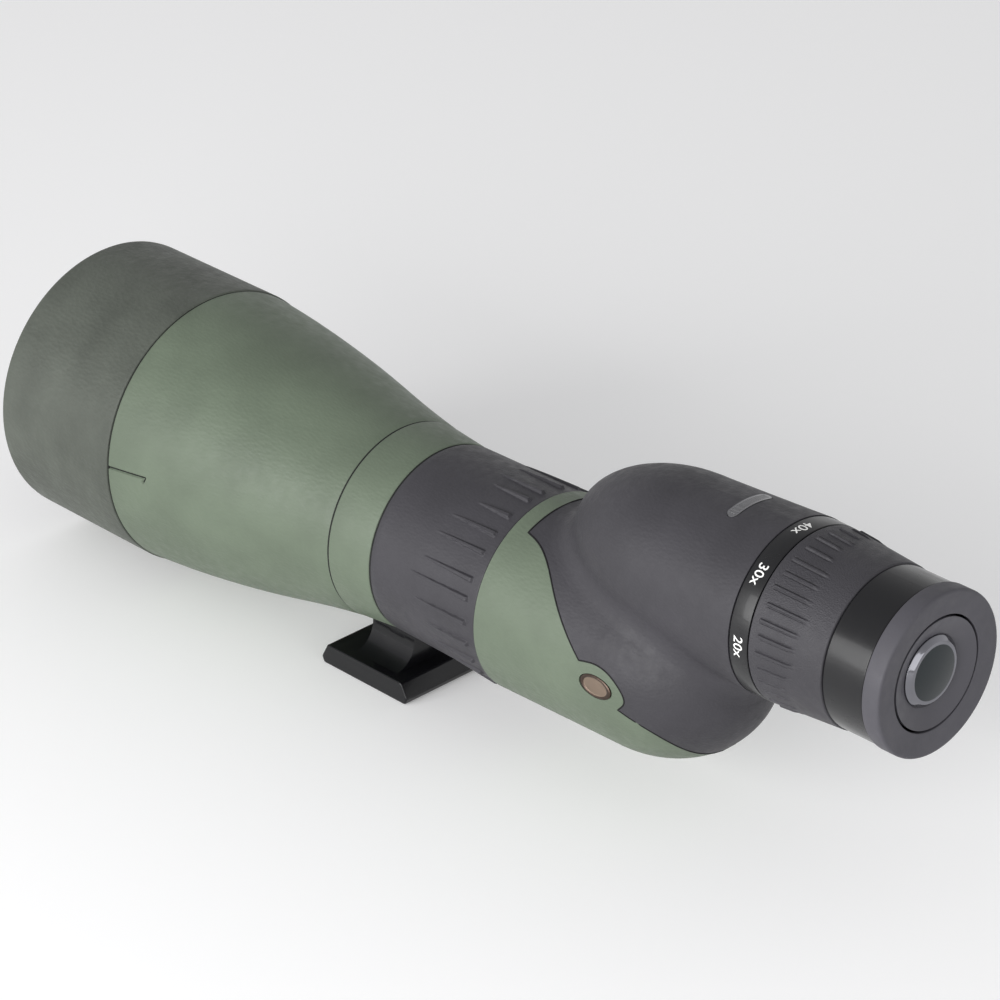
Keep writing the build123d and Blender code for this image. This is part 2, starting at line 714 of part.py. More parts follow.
def make_prism(start, end, face_y, towards):
    """Roof-shaped prism whose long face spans two beams; it points to towards * Y."""
    shift = math.dist(start, end)
    half = shift / 2 + beam_radius
    with BuildPart() as prism:
        with BuildSketch(prism_frame(start, end, face_y, towards)):
            Polygon((-half, 0), (half, 0), (roof_trim, half - roof_trim),
                    (-roof_trim, half - roof_trim), align=None)
        extrude(amount=beam_radius, both=True)
        along_beam = Plane(origin=prism_frame(start, end, face_y, towards).origin,
                           x_dir=prism_frame(start, end, face_y, towards).x_dir,
                           z_dir=(0, towards, 0))
        with BuildSketch(along_beam):
            SlotCenterToCenter(shift, 2 * beam_radius)
        extrude(amount=half, mode=Mode.INTERSECT)
    return prism


def make_clip(start, end, face_y, towards):
    """Bent strip over a prism's roof, with a foot at each end on the plate."""
    half = math.dist(start, end) / 2 + beam_radius
    lift = prism_gap
    inner, outer = half + 1.5 * lift, half + 1.5 * lift + clip_thickness * math.sqrt(2)
    with BuildPart() as clip:
        with BuildSketch(prism_frame(start, end, face_y, towards)):
            Polygon((-outer - clip_foot, 0), (-inner, 0), (0, inner), (inner, 0),
                    (outer + clip_foot, 0), (outer + clip_foot, clip_thickness),
                    (outer - clip_thickness, clip_thickness), (0, outer),
                    (-outer + clip_thickness, clip_thickness),
                    (-outer - clip_foot, clip_thickness), align=None)
        extrude(amount=clip_width / 2, both=True)
    return clip


def clip_screw_places(start, end):
    """Middles of a clip's two feet as (x, height)."""
    shift = math.dist(start, end)
    reach = shift / 2 + beam_radius + clip_thickness * math.sqrt(2) + clip_foot / 2 + 0.1
    middle = ((start[0] + end[0]) / 2, (start[1] + end[1]) / 2)
    step = ((end[0] - start[0]) / shift * reach, (end[1] - start[1]) / shift * reach)
    return [(middle[0] + side * step[0], middle[1] + side * step[1]) for side in (1, -1)]


axis_start = (0.0, 0.0)
axis_end = (0.0, eyepiece_rise)
lower_face = plate_rear - prism_gap
upper_face = plate_front + prism_gap

prism_lower = make_prism(axis_start, beam_turn, lower_face, -1)
prism_upper = make_prism(beam_turn, axis_end, upper_face, 1)

clip_hole = 1.0
clip_head = 1.7
clip_head_height = 1.2
clip_places = [(x, axis_z + z) for x, z in clip_screw_places(axis_start, beam_turn)]
clip_rear = plate_rear - seat - clip_thickness

with BuildPart() as prism_clip:
    add(make_clip(axis_start, beam_turn, plate_rear - seat, -1).part)
    with BuildSketch(Plane.XZ.offset(-plate_rear)):
        with Locations(*clip_places):
            Circle(clip_hole + seat)
    extrude(amount=2 * clip_thickness, mode=Mode.SUBTRACT)

with BuildPart() as clip_screws:
    with BuildSketch(Plane.XZ.offset(-clip_rear)):
        with Locations(*clip_places):
            Circle(clip_head)
    extrude(amount=clip_head_height)
    with BuildSketch(Plane.XZ.offset(-clip_rear)):
        with Locations(*clip_places):
            Circle(clip_hole)
    extrude(amount=-clip_thickness - plate_thickness)

plate_blank = cast_outer & slab(plate_front, plate_rear)

with BuildPart() as prism_plate:
    add(plate_blank)
    with BuildSketch(Plane.XZ.offset(-plate_front - 1)):
        with Locations((axis_start[0], axis_z + axis_start[1]),
                       (beam_turn[0], axis_z + beam_turn[1]),
                       (axis_end[0], axis_z + axis_end[1])):
            Circle(beam_radius - 0.6)
        with Locations(*clip_places):
            Circle(clip_hole + seat)
    extrude(amount=plate_thickness + 2, mode=Mode.SUBTRACT)
    add(front_lug_holes, mode=Mode.SUBTRACT)

with BuildPart() as housing_screws:
    with BuildSketch(Plane.XZ.offset(-plate_front - lug_length - lug_head_depth)):
        for x, z, angle in lug_places():
            with Locations((x, axis_z + z)):
                Circle(lug_head)
    extrude(amount=lug_head_depth)
    with BuildSketch(Plane.XZ.offset(-plate_front - lug_length)):
        for x, z, angle in lug_places():
            with Locations((x, axis_z + z)):
                Circle(lug_screw)
    extrude(amount=lug_length + plate_thickness + lug_length - 2)

# ======================================================================================
# Zoom eyepiece
# ======================================================================================
guide_bore = 21.5
guide_front = rear_wall_front + 6.0
guide_flange = 26.2
guide_flange_length = 2.5
guide_rear = grip_rear - 2.3
zoom_pin_radius = 1.2
zoom_pin_play = 0.1
front_cell_middle = housing_rear - 11.9
front_cell_length = 9.0
rear_cell_middle = grip_rear + 6.6
rear_cell_length = 7.0
zoom_lens_radius = 16.0
zoom_lens_edge = 3.0
cam_bore = guide_radius + slip
cam_radius = 25.8
sleeve_radius = 27.0
zoom_front = housing_rear - seam
zoom_rear = grip_rear + seam
zoom_turn_total = zoom_down_deg + zoom_up_deg
zoom_turn_middle = (zoom_up_deg - zoom_down_deg) / 2   # joint value at mid travel


def zoom_slot(lead, middle, angle):
    """Cam slot whose middle serves the joint value halfway through the range."""
    room = 2 * math.degrees((zoom_pin_radius + seam) / cam_bore)
    shift = lead * zoom_turn_middle / 360
    return helix_cutter(-lead, zoom_turn_total + room, cam_bore - 1, cam_radius + 1,
                        zoom_pin_radius + zoom_pin_play, middle + shift, eyepiece_z,
                        angle - zoom_turn_middle)


def straight_slot(lead, middle, angle):
    """Slot along Y in the guide tube for one follower pin, at an angle about +Y."""
    low = middle - abs(lead) * max(zoom_down_deg, zoom_up_deg) / 360
    high = middle + abs(lead) * max(zoom_down_deg, zoom_up_deg) / 360
    with BuildPart() as cutter:
        with BuildSketch(Plane.XY):
            with Locations((0, (low + high) / 2)):
                SlotCenterToCenter(high - low + 2 * slip, 2 * (zoom_pin_radius + slip),
                                   rotation=90)
        extrude(amount=guide_radius + 1)
    return Pos(0, 0, eyepiece_z) * cutter.part.rotate(Axis.Y, angle)


front_slot = straight_slot(zoom_front_lead, front_cell_middle, 0)
rear_slot = straight_slot(zoom_rear_lead, rear_cell_middle, 180)
front_cam = zoom_slot(zoom_front_lead, front_cell_middle, 0)
rear_cam = zoom_slot(-zoom_rear_lead, rear_cell_middle, 180)

with BuildPart() as eyepiece_tube:
    turn((guide_rear, guide_bore), (guide_rear, guide_radius),
         (rear_wall_front + seat, guide_radius), (rear_wall_front + seat, guide_flange),
         (rear_wall_front + guide_flange_length, guide_flange),
         (rear_wall_front + guide_flange_length, guide_radius),
         (guide_front, guide_radius), (guide_front, guide_bore), about=eyepiece_z)
    add(front_slot, mode=Mode.SUBTRACT)
    add(rear_slot, mode=Mode.SUBTRACT)

with BuildPart() as field_stop:
    turn((guide_front - 3, guide_bore - 1.5), (guide_front - 3, guide_bore - seat),
         (guide_front, guide_bore - seat), (guide_front, 11.5), (guide_front - 0.8, 11.5),
         (guide_front - 0.8, guide_bore - 1.5), about=eyepiece_z)

with BuildPart() as zoom_cam:
    tube(zoom_rear, zoom_front, cam_bore, cam_radius, about=eyepiece_z)
    add(front_cam, mode=Mode.SUBTRACT)
    add(rear_cam, mode=Mode.SUBTRACT)

with BuildPart() as zoom_sleeve:
    tube(zoom_rear, zoom_front, cam_radius + seat, sleeve_radius, about=eyepiece_z)

with BuildPart() as zoom_scale:
    turn((scale_rear + seam / 2, sleeve_radius + seat),
         (scale_rear + seam / 2, grip_front_radius), (zoom_front, scale_radius - 0.2),
         (zoom_front, sleeve_radius + seat), about=eyepiece_z)
    fillet(rim(zoom_scale, zoom_front), 0.3)

with BuildPart() as zoom_grip:
    turn((zoom_rear, sleeve_radius + seat), (zoom_rear, grip_rear_radius),
         (scale_rear - seam / 2, grip_front_radius),
         (scale_rear - seam / 2, sleeve_radius + seat), about=eyepiece_z)
    fillet(rim(zoom_grip, zoom_rear), 0.4)


def zoom_cell(middle, length, angle):
    """Lens cell that slides in the guide tube, with a hole for its follower pin."""
    rear, front = middle - length / 2, middle + length / 2
    lens_rear = rear + 1.0
    with BuildPart() as cell:
        turn((rear, zoom_lens_radius - 1), (rear, guide_bore - slip),
             (front, guide_bore - slip), (front, zoom_lens_radius + seat),
             (lens_rear - seat, zoom_lens_radius + seat),
             (lens_rear - seat, zoom_lens_radius - 1), about=eyepiece_z)
        with BuildSketch(Plane.XY.offset(eyepiece_z).rotated((0, angle, 0))):
            with Locations((0, middle)):
                Circle(zoom_pin_radius + seat)
        extrude(amount=guide_bore + 1, mode=Mode.SUBTRACT)
    return cell


def zoom_pin(middle, angle):
    """Follower pin from the cell's bore out into the cam slot."""
    foot = zoom_lens_radius + 0.3
    with BuildPart() as pin:
        with BuildSketch(Plane.XY.rotated((0, angle, 0)).offset(foot)):
            with Locations((0, middle)):
                Circle(zoom_pin_radius)
        extrude(amount=cam_radius - 0.2 - foot)
    return Pos(0, 0, eyepiece_z) * pin.part


def zoom_ring(lens_front):
    """Threaded ring that holds a lens in its cell."""
    with BuildPart() as ring:
        tube(lens_front + seat, lens_front + 1.6, zoom_lens_radius - 1.2, zoom_lens_radius,
             about=eyepiece_z)
    return ring


front_lens_rear = front_cell_middle - front_cell_length / 2 + 1.0
rear_lens_rear = rear_cell_middle - rear_cell_length / 2 + 1.0

zoom_front_cell = zoom_cell(front_cell_middle, front_cell_length, 0)
zoom_rear_cell = zoom_cell(rear_cell_middle, rear_cell_length, 180)
zoom_front_lens = make_lens(front_lens_rear + zoom_lens_edge, front_lens_rear,
                            zoom_lens_radius, -1.0, -0.7, about=eyepiece_z)
zoom_rear_lens = make_lens(rear_lens_rear + zoom_lens_edge, rear_lens_rear,
                           zoom_lens_radius, -0.6, -0.5, about=eyepiece_z)
zoom_front_ring = zoom_ring(front_lens_rear + zoom_lens_edge)
zoom_rear_ring = zoom_ring(rear_lens_rear + zoom_lens_edge)

with BuildPart() as zoom_front_pin:
    add(zoom_pin(front_cell_middle, 0))

with BuildPart() as zoom_rear_pin:
    add(zoom_pin(rear_cell_middle, 180))

# ---- eyepiece shell, eye lens cell and twist-up eyecup ---------------------------------
shell_bore = 26.0
shell_web = 2.0
shell_front = grip_rear - seam
eye_tube_radius = 19.2
eye_plug_length = 1.2
eye_flange_length = 1.5
eye_lens_radius = 13.2
eye_aperture = 12.4
eye_face = eyecup_rear + 0.9
eye_aperture_y = eye_face + 2.7
eye_lens_edge = 3.2
eye_bore_front = guide_rear - eye_flange_length

key_ring_length = 1.4
key_ring_front = eye_bore_front - 0.25
key_width = 4.0
key_play = 0.1
key_inner = 21.15
key_outer = 22.9
key_rear = eyecup_rear + 5.2
cup_sleeve_bore = 21.0
cup_sleeve_radius = shell_bore - slip
cup_sleeve_front = key_ring_front - key_ring_length - 0.2
cup_sleeve_rear = eyecup_rear + 2.7
cup_lip_bore = eye_tube_radius + 0.4
cup_rear_lip = 2.5
cup_pin_radius = 0.8
cup_pin_y = cup_sleeve_front - 1.3
cup_groove_depth = 0.9
cup_lead = eyecup_travel * 360 / eyecup_turn_deg

cup_groove = helix_cutter(
    -cup_lead, eyecup_turn_deg + 2 * math.degrees((cup_pin_radius + 0.15) / shell_bore),
    shell_bore - 1, shell_bore + cup_groove_depth, cup_pin_radius + zoom_pin_play,
    cup_pin_y - eyecup_travel / 2, eyepiece_z, eyecup_turn_deg / 2)

with BuildPart() as eyepiece_shell:
    turn((shell_rear, shell_bore), (shell_rear, shell_radius), (shell_front, shell_radius),
         (shell_front, guide_radius + seat), (shell_front - shell_web, guide_radius + seat),
         (shell_front - shell_web, shell_bore), about=eyepiece_z)
    fillet(rim(eyepiece_shell, shell_rear), 0.3)
    add(cup_groove, mode=Mode.SUBTRACT)

with BuildPart() as eye_lens_cell:
    turn((guide_rear + eye_plug_length, eye_lens_radius + 2),
         (guide_rear + eye_plug_length, guide_bore - seat),
         (guide_rear - seat, guide_bore - seat), (guide_rear - seat, guide_radius),
         (eye_bore_front, guide_radius), (eye_bore_front, eye_tube_radius),
         (eye_face, eye_tube_radius), (eye_aperture_y, eye_aperture),
         (eye_aperture_y + 0.5, eye_aperture), (eye_aperture_y + 0.5, eye_lens_radius + seat),
         (guide_rear - 2, eye_lens_radius + seat), about=eyepiece_z)

eye_lens_rear = eye_aperture_y + 0.5 + slip + seat
eye_lens = make_lens(eye_lens_rear + eye_lens_edge, eye_lens_rear, eye_lens_radius, 2.6, 0.5,
                     about=eyepiece_z)
inner_lens_rear = eye_lens_rear + eye_lens_edge + 5.0
eye_inner_lens = make_lens(inner_lens_rear + 3.0, inner_lens_rear, eye_lens_radius, 1.6, 1.8,
                           about=eyepiece_z)

with BuildPart() as eye_lens_spacer:
    tube(eye_lens_rear + eye_lens_edge + 0.6, inner_lens_rear - 0.5, eye_lens_radius - 1.2,
         eye_lens_radius, about=eyepiece_z)

with BuildPart() as eye_retainer:
    tube(inner_lens_rear + 3.5, inner_lens_rear + 5.5, eye_lens_radius - 1.2,
         eye_lens_radius, about=eyepiece_z)

with BuildPart() as eyecup_key_ring:
    tube(key_ring_front - key_ring_length, key_ring_front, eye_tube_radius + slip,
         shell_bore - slip, about=eyepiece_z)
    with BuildSketch(Plane.XZ.offset(-key_ring_front)):
        with Locations((0, eyepiece_z)):
            with PolarLocations((key_inner + key_outer) / 2, 3):
                Rectangle(key_outer - key_inner, key_width - 2 * key_play)
    extrude(amount=key_ring_front - key_rear)

with BuildPart() as eyecup_sleeve:
    tube(cup_sleeve_rear, cup_sleeve_front, cup_sleeve_bore, cup_sleeve_radius,
         about=eyepiece_z)
    with BuildSketch(Plane.XZ.offset(-cup_sleeve_front - 1)):
        with Locations((0, eyepiece_z)):
            with PolarLocations((key_inner + key_outer) / 2 - 0.5, 3):
                Rectangle(key_outer - key_inner + 1 + 3 * key_play, key_width)
    extrude(amount=cup_sleeve_front + 1 - cup_sleeve_rear, mode=Mode.SUBTRACT)
    with Locations((0, cup_pin_y, eyepiece_z + 24)):
        Cylinder(cup_pin_radius + seat, 4, mode=Mode.SUBTRACT,
                 align=(Align.CENTER, Align.CENTER, Align.MIN))

with BuildPart() as eyecup_pin:
    with Locations((0, cup_pin_y, eyepiece_z + 24 + seat)):
        Cylinder(cup_pin_radius, shell_bore + cup_groove_depth - 0.15 - 24 - seat,
                 align=(Align.CENTER, Align.CENTER, Align.MIN))

with BuildPart() as eyecup:
    turn((shell_rear - seam, cup_sleeve_radius + seat), (shell_rear - seam, eyecup_radius),
         (eyecup_rear + 0.6, eyecup_radius), (eyecup_rear, eyecup_radius - 0.8),
         (eyecup_rear, eyecup_radius - 2.2), (eyecup_rear + 0.8, cup_lip_bore),
         (eyecup_rear + cup_rear_lip, cup_lip_bore),
         (eyecup_rear + cup_rear_lip, cup_sleeve_radius + seat), about=eyepiece_z)
    fillet(rim(eyecup, shell_rear - seam), 0.5)

# ======================================================================================
# Write every piece
# ======================================================================================
pieces = {
    "main_tube": main_tube, "tripod_foot": tripod_foot, "tripod_bush": tripod_bush,
    "foot_screws": foot_screws, "collar_armour": collar_armour,
    "barrel_armour": barrel_armour, "objective_barrel": objective_barrel,
    "objective_cell": objective_cell, "objective_crown": objective_crown,
    "objective_flint": objective_flint, "objective_spacer": objective_spacer,
    "objective_retainer": objective_retainer, "hood_friction_band": hood_friction_band,
    "hood_tube": hood_tube, "hood_armour": hood_armour, "focus_ring": focus_ring,
    "focus_grip": focus_grip, "focus_cell": focus_cell, "focus_lens": focus_lens,
    "focus_lens_ring": focus_lens_ring, "focus_pin": focus_pin,
    "front_housing": front_housing, "rear_housing": rear_housing,
    "housing_screws": housing_screws, "rear_armour_green": rear_armour_green,
    "rear_armour_black": rear_armour_black, "side_badges": side_badges,
    "top_badge": top_badge, "prism_plate": prism_plate, "prism_lower": prism_lower,
    "prism_upper": prism_upper, "prism_clip": prism_clip, "clip_screws": clip_screws,
    "eyepiece_tube": eyepiece_tube, "field_stop": field_stop, "zoom_cam": zoom_cam,
    "zoom_sleeve": zoom_sleeve, "zoom_scale": zoom_scale, "zoom_grip": zoom_grip,
    "zoom_front_cell": zoom_front_cell, "zoom_front_lens": zoom_front_lens,
    "zoom_front_ring": zoom_front_ring, "zoom_front_pin": zoom_front_pin,
    "zoom_rear_cell": zoom_rear_cell, "zoom_rear_lens": zoom_rear_lens,
    "zoom_rear_ring": zoom_rear_ring, "zoom_rear_pin": zoom_rear_pin,
    "eyepiece_shell": eyepiece_shell, "eye_lens_cell": eye_lens_cell,
    "eye_lens": eye_lens, "eye_lens_spacer": eye_lens_spacer,
    "eye_inner_lens": eye_inner_lens, "eye_retainer": eye_retainer,
    "eyecup_key_ring": eyecup_key_ring, "eyecup_sleeve": eyecup_sleeve,
    "eyecup_pin": eyecup_pin, "eyecup": eyecup,
}

os.makedirs("parts", exist_ok=True)
for name, piece in pieces.items():
    piece.part.label = name
    export_step(piece.part, f"parts/{name}.step")
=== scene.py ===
"""Looks of a straight spotting scope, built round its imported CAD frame.

Lengths in the settings are millimetres, meshes are metres.  Angles round a tube are counted
from the left horizontal, and grow over the top towards the right, which is a positive turn
about +Y.
"""

import json
import math

import bpy
import numpy as np
from bpy.props import FloatProperty, FloatVectorProperty, IntProperty, PointerProperty
from bpy.types import Operator, Panel, PropertyGroup
from mathutils import Matrix, Vector
from mathutils.bvhtree import BVHTree


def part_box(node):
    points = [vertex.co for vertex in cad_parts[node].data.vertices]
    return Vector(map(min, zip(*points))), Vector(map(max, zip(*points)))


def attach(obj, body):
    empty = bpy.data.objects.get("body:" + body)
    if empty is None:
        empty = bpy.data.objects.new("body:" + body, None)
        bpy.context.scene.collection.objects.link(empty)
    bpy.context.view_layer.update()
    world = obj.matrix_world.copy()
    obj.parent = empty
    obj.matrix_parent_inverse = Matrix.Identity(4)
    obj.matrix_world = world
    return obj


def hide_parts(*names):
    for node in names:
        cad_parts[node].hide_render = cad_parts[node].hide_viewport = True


bl_info = {
    "name": "Spotting Scope",
    "version": (1, 0, 0),
    "blender": (4, 5, 0),
    "location": "View3D > Sidebar > Scope",
    "description": "Rubber armour, grips, zoom scale, eyepiece, badges and studio "
                   "of a spotting scope",
    "category": "Object",
}

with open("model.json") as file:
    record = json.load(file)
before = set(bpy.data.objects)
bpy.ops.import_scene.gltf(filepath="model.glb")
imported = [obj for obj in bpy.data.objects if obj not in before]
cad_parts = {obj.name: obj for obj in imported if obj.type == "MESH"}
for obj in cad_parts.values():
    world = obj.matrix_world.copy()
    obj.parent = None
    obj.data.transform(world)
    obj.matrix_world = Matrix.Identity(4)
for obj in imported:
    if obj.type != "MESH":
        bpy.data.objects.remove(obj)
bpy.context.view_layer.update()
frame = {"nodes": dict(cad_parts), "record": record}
NODES = frame["nodes"]
MM = 0.001

# radii and bores of the skins in millimetres, just clear of the tubes and sleeves under them
COLLAR_FRONT, COLLAR_REAR, COLLAR_BORE = 36.6, 34.8, 33.1
FOCUS_FRONT, FOCUS_MEAN, FOCUS_BORE = 34.9, 35.2, 32.65
SCALE_REAR, ZOOM_MEAN, ZOOM_REAR, ZOOM_BORE = 30.7, 29.8, 28.5, 27.05
HOOD_SEAM_RADIUS = 51.9
FOCUS_SEAM = -14.05


def box_mm(node):
    """Lowest and highest corner of a CAD node in millimetres."""
    low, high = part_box(node)
    return np.array(low) / MM, np.array(high) / MM


MAIN_Z = float(np.mean([box_mm("barrel_armour")[i][2] for i in (0, 1)]))
EYE_Z = float(np.mean([box_mm("zoom_grip")[i][2] for i in (0, 1)]))


# --------------------------------------------------------------------------------------
# Settings
# --------------------------------------------------------------------------------------
def length(default, name, text, low=0.0, high=200.0):
    """Length setting in millimetres."""
    return FloatProperty(name=name, description=text, default=default, min=low, max=high)


def tint(default, name, text):
    """Colour setting."""
    return FloatVectorProperty(name=name, description=text, default=default, size=3,
                               min=0.0, max=1.0, subtype="COLOR")


class ScopeArmourSettings(PropertyGroup):
    """Rubber skins of the barrel, hood and prism housing."""
    green: tint((0.108, 0.135, 0.097), "Moss green", "Colour of the barrel's rubber armour")
    hood_green: tint((0.072, 0.080, 0.067), "Hood green", "Colour of the sliding hood's armour")
    black: tint((0.038, 0.0365, 0.042), "Rubber black", "Colour of the black rubber")
    edge_round: length(0.55, "Edge rounding", "Radius of the skins' edges, in millimetres")
    hood_round: length(2.0, "Hood lip rounding", "Radius of the hood's front edge, in millimetres")
    index_width: length(1.1, "Index groove width", "Width of the index line, in millimetres")
    index_depth: length(0.7, "Index groove depth", "Depth of the index line, in millimetres")
    joint_radius: length(0.32, "Joint line radius",
                         "Radius of the dark bead in the joint of the two armours, in millimetres")


class ScopeGripSettings(PropertyGroup):
    """Raised ribs of the focus ring and the zoom ring."""
    focus_ribs: IntProperty(name="Focus ribs", description="Wedge ribs round the focus ring",
                            default=27, min=6, max=60)
    focus_rib_height: length(1.05, "Focus rib height", "Height at the blunt end, in millimetres")
    focus_rib_width: length(2.5, "Focus rib width", "Width of one rib, in millimetres")
    focus_rib_end: length(4.0, "Focus rib margin",
                          "Distance of the blunt ends from the ring's rear edge, in millimetres")
    zoom_ribs: IntProperty(name="Zoom ribs", description="Ribs round the zoom ring",
                           default=34, min=6, max=60)
    zoom_rib_height: length(0.50, "Zoom rib height", "Height of one rib, in millimetres")
    zoom_rib_width: length(1.2, "Zoom rib width", "Width of one rib, in millimetres")


class ScopeEyepieceSettings(PropertyGroup):
    """Zoom scale, shell and eyecup."""
    numeral_size: length(5.2, "Numeral size", "Type size of the scale, in millimetres")
    numeral_lift: length(0.04, "Numeral height", "Height of the painted numbers, in millimetres")
    eyecup_colour: tint((0.066, 0.064, 0.074), "Eyecup grey", "Colour of the eyecup's rubber")
    coating: tint((0.008, 0.010, 0.011), "Lens coating", "Tint of the lens reflections")


class ScopeStageSettings(PropertyGroup):
    """Camera, lights and floor."""
    floor: tint((0.94, 0.94, 0.94), "Floor", "Colour of the pale floor")
    key_power: FloatProperty(name="Key light", description="Power of the large left softbox",
                             default=24.0, min=0.0, max=200.0, unit="POWER")
    fill_power: FloatProperty(name="Fill light", description="Power of the rear fill light",
                              default=2.5, min=0.0, max=200.0, unit="POWER")
    sky: FloatProperty(name="Sky", description="Strength of the even white surroundings",
                       default=1.0, min=0.0, max=3.0)


# --------------------------------------------------------------------------------------
# Mesh building
# --------------------------------------------------------------------------------------
def rounded_outline(corners, rounds, steps=5):
    """Closed outline with rounded corners.

    Each corner C becomes the quadratic arc (1-t)^2 A + 2t(1-t) C + t^2 B, where A and B lie
    the corner's rounding away from C along its two edges, never past 0.45 of an edge.
    """
    c = np.asarray(corners, float)
    before, after = np.roll(c, 1, 0) - c, np.roll(c, -1, 0) - c
    lb, la = np.linalg.norm(before, axis=1), np.linalg.norm(after, axis=1)
    cut = np.minimum(np.asarray(rounds, float), 0.45 * np.minimum(lb, la))
    a = c + before / lb[:, None] * cut[:, None]
    b = c + after / la[:, None] * cut[:, None]
    t = np.linspace(0, 1, steps)[None, :, None]
    arcs = (1 - t) ** 2 * a[:, None] + 2 * t * (1 - t) * c[:, None] + t ** 2 * b[:, None]
    pts = arcs.reshape(-1, 2)
    keep = np.linalg.norm(pts - np.roll(pts, 1, 0), axis=1) > 1e-5
    return pts[keep]


def refine(outline, pitch):
    """Outline with its long edges cut, so that no edge is longer than the pitch."""
    nxt = np.roll(outline, -1, 0)
    counts = np.maximum(1, np.ceil(np.linalg.norm(nxt - outline, axis=1) / pitch)).astype(int)
    start = np.repeat(np.arange(len(outline)), counts)
    share = (np.arange(counts.sum()) - np.repeat(np.cumsum(counts) - counts, counts))
    share = (share / np.repeat(counts, counts))[:, None]
    return outline[start] + (nxt - outline)[start] * share


def link(name, data):
    """New object of a mesh, curve, light or camera, in the scene."""
    piece = bpy.data.objects.new(name, data)
    bpy.context.scene.collection.objects.link(piece)
    return piece


def add_mesh(name, points, faces, sharp=35.0):
    """New object from points in millimetres and quads or triangles, smooth but for sharp edges."""
    mesh = bpy.data.meshes.new(name)
    mesh.from_pydata((np.asarray(points) * MM).tolist(), [], np.asarray(faces).tolist())
    mesh.validate()
    mesh.shade_smooth()
    mesh.set_sharp_from_angle(angle=math.radians(sharp))
    return link(name, mesh)


def capped_mesh(name, rows, head, tail, flip=False, sharp=None):
    """Closed skin over rows of points in millimetres; each row is a loop, and each end a fan."""
    m, n = rows.shape[:2]
    points = np.concatenate([rows.reshape(-1, 3), [head], [tail]])
    i, j = np.meshgrid(np.arange(m - 1), np.arange(n), indexing="ij")
    k = (j + 1) % n
    quads = np.stack([i * n + j, i * n + k, (i + 1) * n + k, (i + 1) * n + j], -1)
    s = np.arange(n)
    first = np.stack([s * 0 + m * n, (s + 1) % n, s], -1)
    last = np.stack([s * 0 + m * n + 1, (m - 1) * n + s, (m - 1) * n + (s + 1) % n], -1)
    turn = -1 if flip else 1
    faces = [f[:, ::turn].tolist() for f in (quads.reshape(-1, 4), first, last)]
    mesh = bpy.data.meshes.new(name)
    mesh.from_pydata((points * MM).tolist(), [], faces[0] + faces[1] + faces[2])
    mesh.shade_smooth()
    if sharp is not None:
        mesh.set_sharp_from_angle(angle=math.radians(sharp))
    return link(name, mesh)


def ring_mesh(name, along, radius, turns, height, sharp=35.0):
    """Closed ring: rows run round its section, columns round the axis.

    Row i and column j lie at (-r cos a, y, height + r sin a), with y and r taken at (i, j) and
    a the column's angle.  Both directions close on themselves.
    """
    shape = np.broadcast_shapes(np.shape(along), np.shape(radius), (1, len(turns)))
    y, r = np.broadcast_to(along, shape), np.broadcast_to(radius, shape)
    a = turns[None, :]
    points = np.stack([-r * np.cos(a), y, height + r * np.sin(a)], -1).reshape(-1, 3)
    rows, cols = shape
    i, j = np.meshgrid(np.arange(rows), np.arange(cols), indexing="ij")
    up, right = (i + 1) % rows, (j + 1) % cols
    quads = np.stack([i * cols + j, up * cols + j, up * cols + right, i * cols + right], -1)
    ym, rm = y[:, 0], r[:, 0]
    area = np.sum(ym * np.roll(rm, -1) - np.roll(ym, -1) * rm)
    quads = quads.reshape(-1, 4)
    return add_mesh(name, points, quads if area > 0 else quads[:, ::-1], sharp)


def lathe(name, corners, rounds, height, columns=256, pitch=6.0, sharp=35.0):
    """Ring of revolution from (y, r) corners with roundings."""
    outline = refine(rounded_outline(corners, rounds), pitch)
    turns = np.linspace(0, 2 * np.pi, columns, endpoint=False)
    return ring_mesh(name, outline[:, :1], outline[:, 1:], turns, height, sharp)


def skin_mesh(name, rows, outer, inner, ends, turns, height):
    """Ring whose outside has a radius for each row and column, over a plain bore."""
    y_rows = np.concatenate([rows, ends])[:, None]
    r_rows = np.concatenate([outer, np.broadcast_to(inner, (2, len(turns)))])
    return ring_mesh(name, y_rows, r_rows, turns, height, 50)


def edge_roll(rows, rear, front, rounding):
    """Fall of a skin's radius towards its two edges, by a quarter circle of the rounding."""
    edge = np.minimum(rows - rear, front - rows)
    return rounding * (1 - np.sqrt(1 - np.clip(1 - edge / rounding, 0, 1) ** 2))


def smooth_step(x):
    """0 below 0, 1 above 1, and 3x^2 - 2x^3 between."""
    x = np.clip(x, 0, 1)
    return x * x * (3 - 2 * x)


def tube_along(name, path, radius, sides=8):
    """Closed tube of one radius along a path of points.

    Ring i lies at P(i) + radius (cos t N + sin t B), where N and B are square to the path's
    direction, and N leans as little as it can from the X axis.  Each end closes on a point.
    """
    path = np.asarray(path, float)
    ahead = np.gradient(path, axis=0)
    ahead /= np.linalg.norm(ahead, axis=1)[:, None]
    side = np.array([1.0, 0.2, 0.1]) - (ahead @ np.array([1.0, 0.2, 0.1]))[:, None] * ahead
    side /= np.linalg.norm(side, axis=1)[:, None]
    other = np.cross(ahead, side)
    t = np.linspace(0, 2 * np.pi, sides, endpoint=False)[None, :, None]
    rings = path[:, None] + radius * (np.cos(t) * side[:, None] + np.sin(t) * other[:, None])
    return capped_mesh(name, rings, path[0], path[-1])


